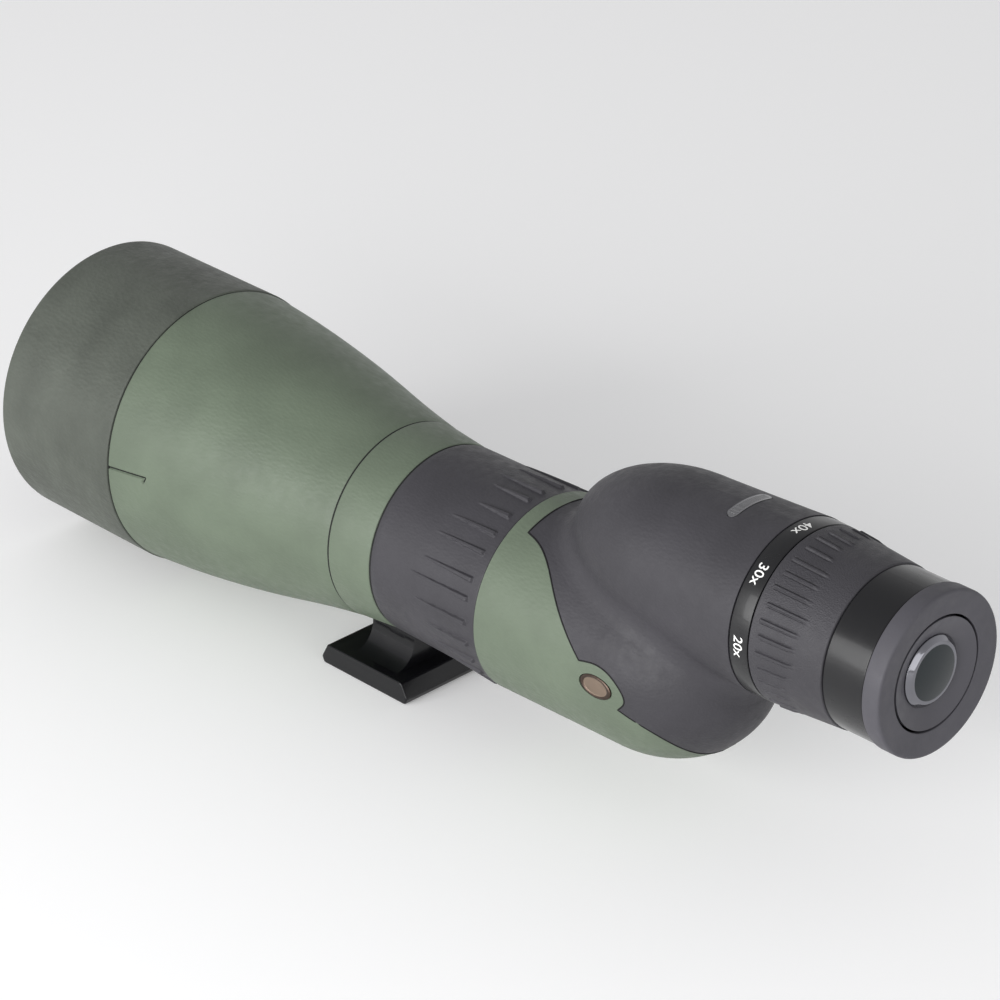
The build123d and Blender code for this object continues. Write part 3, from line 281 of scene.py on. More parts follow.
def natural_spline(points, samples):
    """Smooth curve through the points: a cubic in chord length with no bend at its ends."""
    p = np.asarray(points, float)
    if len(p) < 3:
        t = np.linspace(0, 1, samples)[:, None]
        return p[0] * (1 - t) + p[1] * t
    h = np.linalg.norm(np.diff(p, axis=0), axis=1)
    u = np.concatenate([[0], np.cumsum(h)])
    n = len(p)
    matrix, right = np.eye(n), np.zeros((n, 2))
    inner = np.arange(1, n - 1)
    matrix[inner, inner - 1], matrix[inner, inner + 1] = h[:-1], h[1:]
    matrix[inner, inner] = 2 * (h[:-1] + h[1:])
    slope = np.diff(p, axis=0) / h[:, None]
    right[inner] = 6 * np.diff(slope, axis=0)
    bend = np.linalg.solve(matrix, right)
    s = np.linspace(0, u[-1], samples)
    k = np.clip(np.searchsorted(u, s, side="right") - 1, 0, n - 2)
    hk, a, b = h[k][:, None], (u[k + 1] - s)[:, None], (s - u[k])[:, None]
    return (bend[k] * a ** 3 + bend[k + 1] * b ** 3) / (6 * hk) \
        + (p[k] / hk - bend[k] * hk / 6) * a + (p[k + 1] / hk - bend[k + 1] * hk / 6) * b


# --------------------------------------------------------------------------------------
# Materials
# --------------------------------------------------------------------------------------
def new_material(name):
    """New node material, with its tree, its principled shader and its coordinates."""
    material = bpy.data.materials.new(name)
    material.use_nodes = True
    tree = material.node_tree
    shader = next(n for n in tree.nodes if n.type == "BSDF_PRINCIPLED")
    place = tree.nodes.new("ShaderNodeTexCoord")
    return material, tree, shader, place


def noise(tree, vector, scale, detail=2.0):
    """Cloudy noise from 0 to 1."""
    node = tree.nodes.new("ShaderNodeTexNoise")
    node.inputs["Scale"].default_value = scale
    node.inputs["Detail"].default_value = detail
    tree.links.new(vector, node.inputs["Vector"])
    return node.outputs["Fac"]


def cells(tree, vector, scale):
    """Distance from the middles of soft-edged cells."""
    node = tree.nodes.new("ShaderNodeTexVoronoi")
    node.feature = "SMOOTH_F1"
    node.inputs["Scale"].default_value = scale
    node.inputs["Smoothness"].default_value = 0.6
    tree.links.new(vector, node.inputs["Vector"])
    return node.outputs["Distance"]


def spread(tree, value, low, high, from_low=0.3, from_high=0.7):
    """Value mapped onto a range."""
    node = tree.nodes.new("ShaderNodeMapRange")
    node.inputs["From Min"].default_value = from_low
    node.inputs["From Max"].default_value = from_high
    node.inputs["To Min"].default_value = low
    node.inputs["To Max"].default_value = high
    tree.links.new(value, node.inputs["Value"])
    return node.outputs["Result"]


def shades(tree, value, dark, light):
    """Colour between two shades."""
    node = tree.nodes.new("ShaderNodeMix")
    node.data_type = "RGBA"
    node.inputs["A"].default_value = (*dark, 1)
    node.inputs["B"].default_value = (*light, 1)
    tree.links.new(value, node.inputs["Factor"])
    return node.outputs["Result"]


def stretched(tree, vector, sizes):
    """Coordinates scaled by axis, which draws a pattern out along the smaller ones."""
    node = tree.nodes.new("ShaderNodeMapping")
    node.inputs["Scale"].default_value = sizes
    tree.links.new(vector, node.inputs["Vector"])
    return node.outputs["Vector"]


def bump(tree, height, depth, below=None):
    """Normal of a height field, over another normal where one is given."""
    node = tree.nodes.new("ShaderNodeBump")
    node.inputs["Strength"].default_value = 1.0
    node.inputs["Distance"].default_value = depth
    tree.links.new(height, node.inputs["Height"])
    if below is not None:
        tree.links.new(below, node.inputs["Normal"])
    return node.outputs["Normal"]


def rubber(name, colour, grain=1.0, depth=0.10, roughness=0.5, mottle=0.10, streak=0.45):
    """Moulded rubber: leathery cells of a given size, fine dust-like grain and faint mottling."""
    material, tree, shader, place = new_material(name)
    at = place.outputs["Object"]
    colour = np.array(colour)
    drawn = stretched(tree, at, (1, streak, 1))
    mixed = spread(tree, noise(tree, at, 45, 3), 0, 1, 0.35, 0.65)
    tree.links.new(shades(tree, mixed, tuple(colour * (1 - mottle)), tuple(colour * (1 + mottle))),
                   shader.inputs["Base Color"])
    tree.links.new(spread(tree, noise(tree, at, 300, 3), roughness - 0.06, roughness + 0.08),
                   shader.inputs["Roughness"])
    leather = bump(tree, cells(tree, drawn, 1000 / grain), depth * MM)
    fine = bump(tree, noise(tree, at, 3200 / grain, 2), 0.4 * depth * MM, leather)
    tree.links.new(fine, shader.inputs["Normal"])
    shader.inputs["Specular IOR Level"].default_value = 0.30
    return material


def gloss_black(name, colour=(0.008, 0.008, 0.009), roughness=0.13, coat=0.4):
    """Black lacquer with a slight orange peel and faint handling haze."""
    material, tree, shader, place = new_material(name)
    at = place.outputs["Object"]
    shader.inputs["Base Color"].default_value = (*colour, 1)
    haze = noise(tree, at, 90, 4)
    tree.links.new(spread(tree, haze, roughness - 0.03, roughness + 0.07),
                   shader.inputs["Roughness"])
    tree.links.new(bump(tree, noise(tree, at, 500, 1), 0.008 * MM), shader.inputs["Normal"])
    shader.inputs["Specular IOR Level"].default_value = 0.32
    shader.inputs["Coat Weight"].default_value = coat
    shader.inputs["Coat Roughness"].default_value = 0.06
    return material


def anodised(name, colour, roughness=0.34, metal=1.0, lines=2600, depth=0.012):
    """Turned metal: fine rings across the axis, and a little variation in gloss."""
    material, tree, shader, place = new_material(name)
    at = place.outputs["Object"]
    colour = np.array(colour)
    shader.inputs["Metallic"].default_value = metal
    blotch = spread(tree, noise(tree, at, 70, 3), 0, 1)
    tree.links.new(shades(tree, blotch, tuple(colour * 0.9), tuple(np.minimum(colour * 1.1, 1))),
                   shader.inputs["Base Color"])
    tree.links.new(spread(tree, noise(tree, at, 220, 3), roughness - 0.05, roughness + 0.07),
                   shader.inputs["Roughness"])
    rings = noise(tree, stretched(tree, at, (0.02, 1, 0.02)), lines, 1)
    tree.links.new(bump(tree, rings, depth * MM), shader.inputs["Normal"])
    return material


def optical_glass(name, tint_colour, roughness=0.02):
    """Coated glass, dark from outside because the tube behind it is black."""
    material, tree, shader, place = new_material(name)
    at = place.outputs["Object"]
    colour = np.array(tint_colour)
    film = spread(tree, noise(tree, at, 30, 1), 0, 1)
    tree.links.new(shades(tree, film, tuple(colour * 0.8), tuple(np.minimum(colour * 1.3, 1))),
                   shader.inputs["Base Color"])
    shader.inputs["Roughness"].default_value = roughness
    shader.inputs["IOR"].default_value = 1.5
    shader.inputs["Specular Tint"].default_value = (0.58, 0.66, 0.70, 1)
    return material


def inlaid_silver(name, middle_y):
    """Silver bar with a dark hatched inlay: dark where |x| < 8.2 mm and |y - middle| < 1.4 mm."""
    material, tree, shader, place = new_material(name)
    at = place.outputs["Object"]
    parts = tree.nodes.new("ShaderNodeSeparateXYZ")
    tree.links.new(at, parts.inputs["Vector"])

    def maths(kind, first, second=0.0):
        node = tree.nodes.new("ShaderNodeMath")
        node.operation = kind
        for socket, value in zip(node.inputs, (first, second)):
            if isinstance(value, float):
                socket.default_value = value
            else:
                tree.links.new(value, socket)
        return node.outputs[0]

    x = maths("ABSOLUTE", parts.outputs["X"])
    y = maths("ABSOLUTE", maths("SUBTRACT", parts.outputs["Y"], middle_y * MM))
    inside = maths("MULTIPLY", maths("LESS_THAN", x, 8.2 * MM), maths("LESS_THAN", y, 1.4 * MM))
    across = maths("ADD", parts.outputs["X"], parts.outputs["Y"])
    slant = maths("SINE", maths("MULTIPLY", across, 6500.0))
    hatch = maths("MULTIPLY", inside, maths("GREATER_THAN", slant, -0.35))
    tree.links.new(shades(tree, hatch, (0.27, 0.27, 0.28), (0.02, 0.02, 0.022)),
                   shader.inputs["Base Color"])
    tree.links.new(maths("SUBTRACT", 1.0, inside), shader.inputs["Metallic"])
    tree.links.new(spread(tree, noise(tree, at, 400, 3), 0.28, 0.42), shader.inputs["Roughness"])
    tree.links.new(bump(tree, maths("SUBTRACT", 1.0, inside), 0.1 * MM), shader.inputs["Normal"])
    return material


def paint_white(name):
    """Printed white ink, a little uneven."""
    material, tree, shader, place = new_material(name)
    at = place.outputs["Object"]
    tree.links.new(shades(tree, noise(tree, at, 900, 2), (0.72, 0.72, 0.70), (0.86, 0.86, 0.84)),
                   shader.inputs["Base Color"])
    shader.inputs["Roughness"].default_value = 0.45
    return material


def felt(name):
    """Black felt with a loose fibre grain."""
    material, tree, shader, place = new_material(name)
    at = place.outputs["Object"]
    fibre = noise(tree, at, 1500, 3)
    tree.links.new(shades(tree, fibre, (0.012, 0.012, 0.012), (0.035, 0.035, 0.035)),
                   shader.inputs["Base Color"])
    shader.inputs["Roughness"].default_value = 0.95
    shader.inputs["Sheen Weight"].default_value = 0.3
    tree.links.new(bump(tree, noise(tree, at, 2600, 3), 0.15 * MM), shader.inputs["Normal"])
    return material


def dress(piece, material):
    """Puts one material on every slot of a piece."""
    if not piece.material_slots:
        piece.data.materials.append(material)
    for held in piece.material_slots:
        held.material = material


def seat(piece, body, slot_name, *nodes):
    """Rides a piece on its body and hides the CAD nodes that it stands for; the slot name is not
    used.
    """
    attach(piece, body)
    if nodes:
        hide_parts(*nodes)


# --------------------------------------------------------------------------------------
# Pieces
# --------------------------------------------------------------------------------------
class SCOPE_OT_hood(Operator):
    """Sliding hood: a leathery dark green skin with a rounded front lip"""
    bl_idname = "scope.hood"
    bl_label = "Hood"

    def execute(self, context):
        s = context.scene.scope_armour
        low, high = box_mm("hood_armour")
        radius = (high[0] - low[0]) / 2
        tube = (box_mm("hood_tube")[1][0] - box_mm("hood_tube")[0][0]) / 2
        bore, lip = tube - 1.65, 2.1
        corners = [(low[1], tube + 0.1), (low[1], radius), (high[1], radius), (high[1], bore),
                   (high[1] - lip, bore), (high[1] - lip, tube + 0.1)]
        rounds = [0, s.edge_round, s.hood_round, 0.5, 0, 0]
        skin = lathe("hood_skin", corners, rounds, MAIN_Z, 288)
        dress(skin, rubber("hood_leather", s.hood_green, 1.25, 0.16, 0.52, 0.14, 0.6))
        seat(skin, "hood", "armour_hood", "hood_armour")
        return {"FINISHED"}


class SCOPE_OT_barrel(Operator):
    """Flared barrel skin with the pressed index line, the collar's skin, and near-black painted
    shade in the index groove and the seams
    """
    bl_idname = "scope.barrel"
    bl_label = "Barrel and collar"

    def execute(self, context):
        s = context.scene.scope_armour
        low, high = box_mm("barrel_armour")
        rear, front = low[1], high[1]
        skin_wall = 1.7
        profile = [(4.7, COLLAR_FRONT), (21.7, 39.4), (44.6, 44.0), (68.6, 48.0), (91.5, 50.8),
                   (104.5, HOOD_SEAM_RADIUS)]
        green = rubber("moss_armour", s.green, 1.05, 0.085, 0.47, 0.07, 0.5)

        # index line: straight back from the hood's seam, then a short hook down
        line = np.array([(front + 1, 2.4), (86.1, 4.1), (87.1, 2.1)])
        stations = np.concatenate([np.linspace(rear, 83, 44), np.arange(83.25, front, 0.22),
                                   [front]])
        curve = natural_spline(profile, 400)
        reach = np.interp(stations, curve[:, 0], curve[:, 1])
        near = np.radians(np.arange(-2.5, 9.5, 0.26))
        far = np.radians(np.linspace(9.5, 357.5, 200))
        turns = np.concatenate([near, far[:-1]])
        across = np.where(turns > np.pi, turns - 2 * np.pi, turns)[None, :] * reach[:, None]
        here = np.stack([np.broadcast_to(stations[:, None], across.shape), across], -1)
        a, b = line[:-1], line[1:]
        share = np.einsum("ijkl,kl->ijk", here[:, :, None] - a, b - a) / np.sum((b - a) ** 2, -1)
        nearest = a + np.clip(share, 0, 1)[..., None] * (b - a)
        gap = np.linalg.norm(here[:, :, None] - nearest, axis=-1).min(-1)
        groove = s.index_depth * (1 - smooth_step((gap - 0.18) / (s.index_width / 2)))
        roll = edge_roll(stations, rear, front, s.edge_round)
        outer = (reach - roll)[:, None] - groove
        inner = reach[[-1, 0]][:, None] - skin_wall
        skin = skin_mesh("barrel_skin", stations, outer, inner, [front, rear], turns, MAIN_Z)
        dress(skin, green)
        seat(skin, "body", "armour_green", "barrel_armour")

        # painted shade: near-black rubber for a bead on the index groove's floor and for rings sunk
        # in the seams, darkening them where there is only shade
        ink_and_painted_shade = rubber("seam_shadow", (0.010, 0.011, 0.010), 0.8, 0.02, 0.8)
        deep = natural_spline(line[:2], 40)
        deep = np.concatenate([deep[deep[:, 0] < front - 0.4], natural_spline(line[1:], 8)[1:]])
        floor_r = np.interp(deep[:, 0], curve[:, 0], curve[:, 1]) - s.index_depth - 0.02
        turned = deep[:, 1] / (floor_r + s.index_depth)
        # painted shade: a near-black bead along the floor of the index groove
        bead = tube_along("index_line", np.stack([
            -floor_r * np.cos(turned), deep[:, 0], MAIN_Z + floor_r * np.sin(turned)], -1), 0.27)
        dress(bead, ink_and_painted_shade)
        seat(bead, "body", "armour_green")
        # painted shade: near-black rings sunk in the seams of the hood, the collar and the focus
        # ring
        seams = (("hood", front + 0.15, HOOD_SEAM_RADIUS, 0.55, 0.22),
                 ("collar", rear - 0.15, COLLAR_FRONT, 0.50, 0.25),
                 ("focus", FOCUS_SEAM, COLLAR_REAR, 0.45, 0.28))
        for word, middle, radius, half, drop in seams:
            corners = [(middle - half, radius - 1.2), (middle - half, radius - drop),
                       (middle + half, radius - drop), (middle + half, radius - 1.2)]
            seam = lathe("seam_" + word, corners, [0, 0.05, 0.05, 0], MAIN_Z, 256)
            dress(seam, ink_and_painted_shade)
            seat(seam, "body", "rubber_black")

        low, high = box_mm("collar_armour")
        corners = [(low[1], COLLAR_BORE), (low[1], COLLAR_REAR), (high[1], COLLAR_FRONT - 0.05),
                   (high[1], COLLAR_BORE)]
        collar = lathe("collar_skin", corners, [0, s.edge_round, s.edge_round, 0], MAIN_Z, 224)
        dress(collar, green)
        seat(collar, "body", "armour_green", "collar_armour")
        return {"FINISHED"}


def rib_bump(offset, half_width, crest=0.45):
    """Section of a rib: flat on its crest, falling smoothly to 0 at its half width."""
    return 1 - smooth_step((np.abs(offset) / half_width - crest) / (1 - crest))


def rib_columns(count, middle_radius, half_width, shifts, plain=3):
    """Angles of the columns, close together over each rib, with a few between ribs."""
    u = np.array([-1.15, -1, -0.85, -0.7, -0.55, -0.4, -0.27, -0.14, 0, 0.14, 0.27, 0.4, 0.55,
                  0.7, 0.85, 1, 1.15])
    pitch = 2 * np.pi / count
    span = u[-1] * half_width / middle_radius
    between = np.linspace(span, pitch - span, plain + 2)[1:-1]
    offsets = np.concatenate([u * half_width / middle_radius, between])
    middles = np.arange(count) * pitch + shifts
    return np.sort((middles[:, None] + offsets).ravel()), middles


def nearest_rib(turns, middles, radius):
    """Rib nearest to each column, and the column's distance from that rib's middle."""
    away = (turns[None, :] - middles[:, None] + np.pi) % (2 * np.pi) - np.pi
    which = np.argmin(np.abs(away), axis=0)
    return which, away[which, np.arange(len(turns))] * radius


class SCOPE_OT_focus_grip(Operator):
    """Focus ring's rubber with wedge ribs that deepen towards the eyepiece"""
    bl_idname = "scope.focus_grip"
    bl_label = "Focus grip"

    def execute(self, context):
        s, g = context.scene.scope_armour, context.scene.scope_grip
        low, high = box_mm("focus_grip")
        rear, front = low[1], high[1]
        r_rear, r_front = (high[0] - low[0]) / 2, FOCUS_FRONT
        half = g.focus_rib_width / 2
        n = g.focus_ribs
        k = np.arange(n)
        shifts = np.radians(1.4) * np.sin(k * 2.4)
        turns, middles = rib_columns(n, FOCUS_MEAN, half, shifts)
        rows = np.unique(np.round(np.concatenate([
            np.linspace(rear, rear + 0.8, 6), np.linspace(rear + 0.8, rear + 6.5, 26),
            np.linspace(rear + 6.5, front - 14, 52), np.linspace(front - 14, front, 10)]), 4))
        base = r_rear + (r_front - r_rear) * (rows - rear) / (front - rear)
        base = base - edge_roll(rows, rear, front, s.edge_round)
        blunt = rear + g.focus_rib_end
        start = -41.0 + 5.0 * np.sin(3 * middles + 0.9) + 2.0 * np.sin(k * 2.1)
        which, off = nearest_rib(turns, middles, FOCUS_MEAN)
        begin = start[which][None, :]
        y = rows[:, None]
        ramp = np.clip((begin - y) / (begin - blunt), 0, 1)
        wide = rib_bump(off[None, :], half * (0.3 + 0.7 * ramp))
        ramp = ramp ** 0.45
        end = smooth_step((y - blunt + 0.5) / 0.9)
        outer = base[:, None] + g.focus_rib_height * wide * ramp * end
        skin = skin_mesh("focus_ring_rubber", rows, outer, FOCUS_BORE, [front, rear], turns, MAIN_Z)
        dress(skin, rubber("focus_rubber", s.black, 0.9, 0.07, 0.50, 0.08, 0.5))
        seat(skin, "focus_control", "rubber_black", "focus_grip")
        return {"FINISHED"}


class SCOPE_OT_zoom_grip(Operator):
    """Zoom ring's rubber with short ribs of uneven length behind the scale"""
    bl_idname = "scope.zoom_grip"
    bl_label = "Zoom grip"

    def execute(self, context):
        s, g = context.scene.scope_armour, context.scene.scope_grip
        low, high = box_mm("zoom_grip")
        rear, front = low[1], high[1]
        r_front, r_rear = (high[0] - low[0]) / 2, ZOOM_REAR
        half = g.zoom_rib_width / 2
        n = g.zoom_ribs
        k = np.arange(n)
        shifts = np.radians(0.5) * np.sin(k * 1.9)
        turns, middles = rib_columns(n, ZOOM_MEAN, 1.9 * half, shifts, 2)
        rows = np.unique(np.round(np.concatenate([
            np.linspace(rear, rear + 0.8, 6), np.linspace(rear + 0.8, front - 22, 12),
            np.linspace(front - 22, front - 4, 48), np.linspace(front - 4, front - 1.5, 14),
            np.linspace(front - 1.5, front, 8)]), 4))
        base = r_rear + (r_front - r_rear) * (rows - rear) / (front - rear)
        base = base - edge_roll(rows, rear, front, s.edge_round)
        which, off = nearest_rib(turns, middles, ZOOM_MEAN)
        first = front - 2.6 - 0.6 * (k % 2)
        last = front - 16.0 - 3.5 * np.sin(2.0 * middles + 0.6) - 1.5 * (k % 3 == 0)
        y = rows[:, None]
        lead = smooth_step((first[which][None, :] - y) / 0.8)
        tail = smooth_step((y - last[which][None, :]) / 4.0)
        # a fine groove runs along both sides of each rib
        shape = rib_bump(off, half) - 0.5 * rib_bump(np.abs(off) - 1.35 * half, 0.45 * half)
        outer = base[:, None] + g.zoom_rib_height * shape[None, :] * lead * tail
        skin = skin_mesh("zoom_ring_rubber", rows, outer, ZOOM_BORE, [front, rear], turns, EYE_Z)
        dress(skin, rubber("zoom_rubber", s.black, 0.45, 0.13, 0.50, 0.08, 0.7))
        seat(skin, "zoom_control", "rubber_black", "zoom_grip")
        return {"FINISHED"}


def joint_path():
    """Joint of the green and black armour as (y, z), seen from the side.

    Splines through its corners, given behind the focus ring and over the main axis.
    """
    focus_rear = -66.7
    step, slope = (6.8, 31.8), [(13.2, 30.8), (22.2, 27.4), (31.2, 21.1), (39.2, 14.5)]
    corner, lobe, back = (48.2, 7.0), [(57.2, 8.1), (65.2, 4.0), (67.9, -1.4)], (65.4, -4.9)
    under = [(72.9, -8.9), (79.0, -14.0), (83.0, -21.0), (84.5, -32.0)]
    runs = [natural_spline([(7.15, 35.9), step], 12), natural_spline([step, *slope, corner], 60),
            natural_spline([corner, *lobe, back], 50), natural_spline([back, *under], 50)]
    flat = np.concatenate(runs)
    return np.stack([focus_rear - flat[:, 0], MAIN_Z + flat[:, 1]], -1)


def search_tree(*nodes):
    """Search tree over the triangles of some CAD nodes."""
    points, faces, start = [], [], 0
    for node in nodes:
        mesh = NODES[node].data
        mesh.calc_loop_triangles()
        flat = np.empty(len(mesh.vertices) * 3, np.float32)
        mesh.vertices.foreach_get("co", flat)
        corners = np.empty(len(mesh.loop_triangles) * 3, np.int32)
        mesh.loop_triangles.foreach_get("vertices", corners)
        points.append(flat.reshape(-1, 3))
        faces.append(corners.reshape(-1, 3) + start)
        start += len(mesh.vertices)
    return BVHTree.FromPolygons(np.concatenate(points).tolist(), np.concatenate(faces).tolist())


class SCOPE_OT_housing(Operator):
    """Prism housing's two rubber skins, and a near-black bead along their joint as painted shade"""
    bl_idname = "scope.housing"
    bl_label = "Prism housing"

    def execute(self, context):
        s = context.scene.scope_armour
        dress(NODES["rear_armour_green"],
              rubber("housing_green", s.green, 1.05, 0.085, 0.47, 0.07, 0.5))
        dress(NODES["rear_armour_black"],
              rubber("housing_black", s.black, 1.0, 0.08, 0.52, 0.08, 0.6))
        tree = search_tree("rear_armour_green", "rear_armour_black")
        path = joint_path()
        path = path[np.concatenate([[True], np.linalg.norm(np.diff(path, axis=0), axis=1) > 0.2])]
        reach, sunk = 0.1, 0.12           # metres outside the skin, and millimetres under it
        sides = []
        for side in (-1, 1):
            inwards = Vector((-side, 0, 0))
            hits = [tree.ray_cast(Vector((side * reach, y * MM, z * MM)), inwards, 2 * reach)[0]
                    for y, z in path]
            line = np.array([h for h in hits if h is not None]) / MM
            line[:, 0] -= side * sunk
            sides.append(line)
        # over the top the joint stays at one station, between the two sides' first points
        axis = Vector((0, sides[0][0][1], MAIN_Z)) * MM
        first = math.atan2(sides[0][0][2] - MAIN_Z, -sides[0][0][0])
        over = []
        for turn in np.linspace(math.pi - first, first, 60)[1:-1]:
            out = Vector((-math.cos(turn), 0, math.sin(turn)))
            hit = tree.ray_cast(axis + out * reach, -out, 2 * reach)[0]
            over.append(np.array(hit - out * sunk * MM) / MM)
        loop = np.concatenate([sides[0], sides[1][::-1], np.array(over)])
        # painted shade: a near-black bead along the joint of the two armours, darkening the seam
        bead = tube_along("armour_joint", loop, s.joint_radius)
        dress(bead, rubber("joint_painted_shade", (0.006, 0.006, 0.006), 0.8, 0.02, 0.7))
        seat(bead, "body", "rubber_black")
        return {"FINISHED"}


def dome_badge(name, centre_y, centre_z, half_y, half_z, surface_x, side, proud, thickness):
    """Oval badge: a raised rim, its first material, round a shallow dish, its second.

    At share q of the way out and angle t, y and z lie on the ellipse q (half_y cos t, half_z
    sin t), and x stands proud by the rim, less a dish that runs from q = 0.8 inwards.
    """
    q = np.array([0, 0.15, 0.3, 0.45, 0.6, 0.7, 0.76, 0.80, 0.84, 0.9, 0.95, 0.985, 1.0])
    rise = proud - 0.30 * (1 - smooth_step((q - 0.74) / 0.1))
    rise = rise - 0.25 * smooth_step((q - 0.93) / 0.07) + 0.12 * (1 - q ** 2)
    t = np.linspace(0, 2 * np.pi, 72, endpoint=False)
    y = centre_y + q[:, None] * half_y * np.cos(t)
    z = centre_z + q[:, None] * half_z * np.sin(t)
    x = side * (surface_x + rise)[:, None] + 0 * t
    rows = np.stack([x, y, z], -1)
    wall = rows[-1:].copy()
    wall[..., 0] = side * (surface_x - thickness)
    rows = np.concatenate([rows[1:], wall])
    head = (side * (surface_x + rise[0]), centre_y, centre_z)
    tail = (side * (surface_x - thickness), centre_y, centre_z)
    badge = capped_mesh(name, rows, head, tail, side > 0, 40)
    columns, dish_rows = len(t), 5
    dish = np.arange(len(rows) - 1) < dish_rows
    inside = np.concatenate([np.repeat(dish, columns), np.ones(columns), np.zeros(columns)])
    badge.data.polygons.foreach_set("material_index", inside.astype(np.int32))
    return badge


class SCOPE_OT_badges(Operator):
    """Oval bronze badges on the sides and the silver bar on top, all blank"""
    bl_idname = "scope.badges"
    bl_label = "Badges"

    def execute(self, context):
        low_y, high_y = (corner[1] for corner in box_mm("top_badge"))
        low, high = box_mm("side_badges")
        bronze = anodised("bronze", (0.26, 0.20, 0.155), 0.42, 1.0, 1500, 0.02)
        dark = anodised("dark_bronze", (0.075, 0.055, 0.045), 0.38, 1.0, 1500, 0.02)
        middle_y, middle_z = (low[1] + high[1]) / 2, (low[2] + high[2]) / 2
        half_y, half_z = (high[1] - low[1]) / 2, (high[2] - low[2]) / 2
        proud, thickness = 0.25, 0.8
        for side, word in ((-1, "left"), (1, "right")):
            badge = dome_badge("side_badge_" + word, middle_y, middle_z, half_y, half_z,
                               high[0] - proud, side, proud, thickness)
            badge.data.materials.append(dark)
            badge.data.materials.append(bronze)
            seat(badge, "body", "bronze_badge", "side_badges")
        dress(NODES["top_badge"], inlaid_silver("silver_inlay", (high_y + low_y) / 2))
        return {"FINISHED"}


class SCOPE_OT_scale(Operator):
    """Gloss black scale ring with its white power numbers"""
    bl_idname = "scope.scale"
    bl_label = "Zoom scale"

    def execute(self, context):
        s = context.scene.scope_eyepiece
        low, high = box_mm("zoom_scale")
        rear, front = low[1], high[1]
        r_rear, r_front = SCALE_REAR, (high[0] - low[0]) / 2
        corners = [(rear, ZOOM_BORE), (rear, r_rear), (front, r_front), (front, ZOOM_BORE)]
        band = lathe("scale_band", corners, [0, 0.3, 0.4, 0], EYE_Z, 256)
        dress(band, gloss_black("scale_lacquer", (0.009, 0.009, 0.010), 0.30, 0.15))
        seat(band, "zoom_control", "gloss_black", "zoom_scale")

        ink_and_painted_shade = paint_white("scale_ink")
        middle, wrap_radius = (rear + front) / 2, 30.9
        powers = (("20x", -2), ("30x", 45), ("40x", 87), ("50x", 129), ("60x", 172))
        for word, angle in powers:
            curve = bpy.data.curves.new("numeral", "FONT")
            curve.body = word
            curve.size = s.numeral_size
            curve.align_x, curve.align_y = "CENTER", "CENTER"
            curve.resolution_u = 3
            curve.offset = 0.03
            holder = link("numeral", curve)
            context.view_layer.update()
            mesh = bpy.data.meshes.new_from_object(holder)
            bpy.data.objects.remove(holder)
            flat = np.empty(len(mesh.vertices) * 3)
            mesh.vertices.foreach_get("co", flat)
            flat = flat.reshape(-1, 3)
            flat[:, :2] -= (flat[:, :2].min(0) + flat[:, :2].max(0)) / 2
            # wrap: advance runs down in angle, letter tops point to the eyepiece
            turn = math.radians(angle) - flat[:, 0] / wrap_radius
            y = middle - flat[:, 1]
            reach = r_rear + (r_front - r_rear) * (y - rear) / (front - rear) + s.numeral_lift
            placed = np.stack([-reach * np.cos(turn), y, EYE_Z + reach * np.sin(turn)], -1) * MM
            mesh.vertices.foreach_set("co", placed.ravel())
            mesh.materials.clear()
            mesh.update()
            numeral = link("power_" + word, mesh)
            face = mesh.polygons[0]
            outwards = placed[face.vertices[0]] - np.array([0, middle, EYE_Z]) * MM
            if np.dot(face.normal, outwards) < 0:
                mesh.flip_normals()
            dress(numeral, ink_and_painted_shade)
            seat(numeral, "zoom_control", "gloss_black")
        return {"FINISHED"}


def lens_dome(name, edge_y, radius, sag, depth, height, facing=-1):
    """Closed lens: a spherical face over a flat back.

    Ring q of the face lies at share q of the radius, and stands out by the sphere's height
    sqrt(R^2 - (q r)^2) - (R - sag), where R = (r^2 + sag^2) / (2 sag).
    """
    q = np.linspace(0, 1, 26)[1:]
    sphere = (radius ** 2 + sag ** 2) / (2 * sag)
    rise = np.sqrt(sphere ** 2 - (q * radius) ** 2) - (sphere - sag)
    t = np.linspace(0, 2 * np.pi, 128, endpoint=False)
    r = np.concatenate([q * radius, [radius]])
    y = np.concatenate([edge_y + facing * rise, [edge_y - facing * depth]])
    rows = np.stack([-r[:, None] * np.cos(t), y[:, None] + 0 * t,
                     height + r[:, None] * np.sin(t)], -1)
    head, tail = (0, edge_y + facing * sag, height), (0, edge_y - facing * depth, height)
    return capped_mesh(name, rows, head, tail, facing > 0, 40)


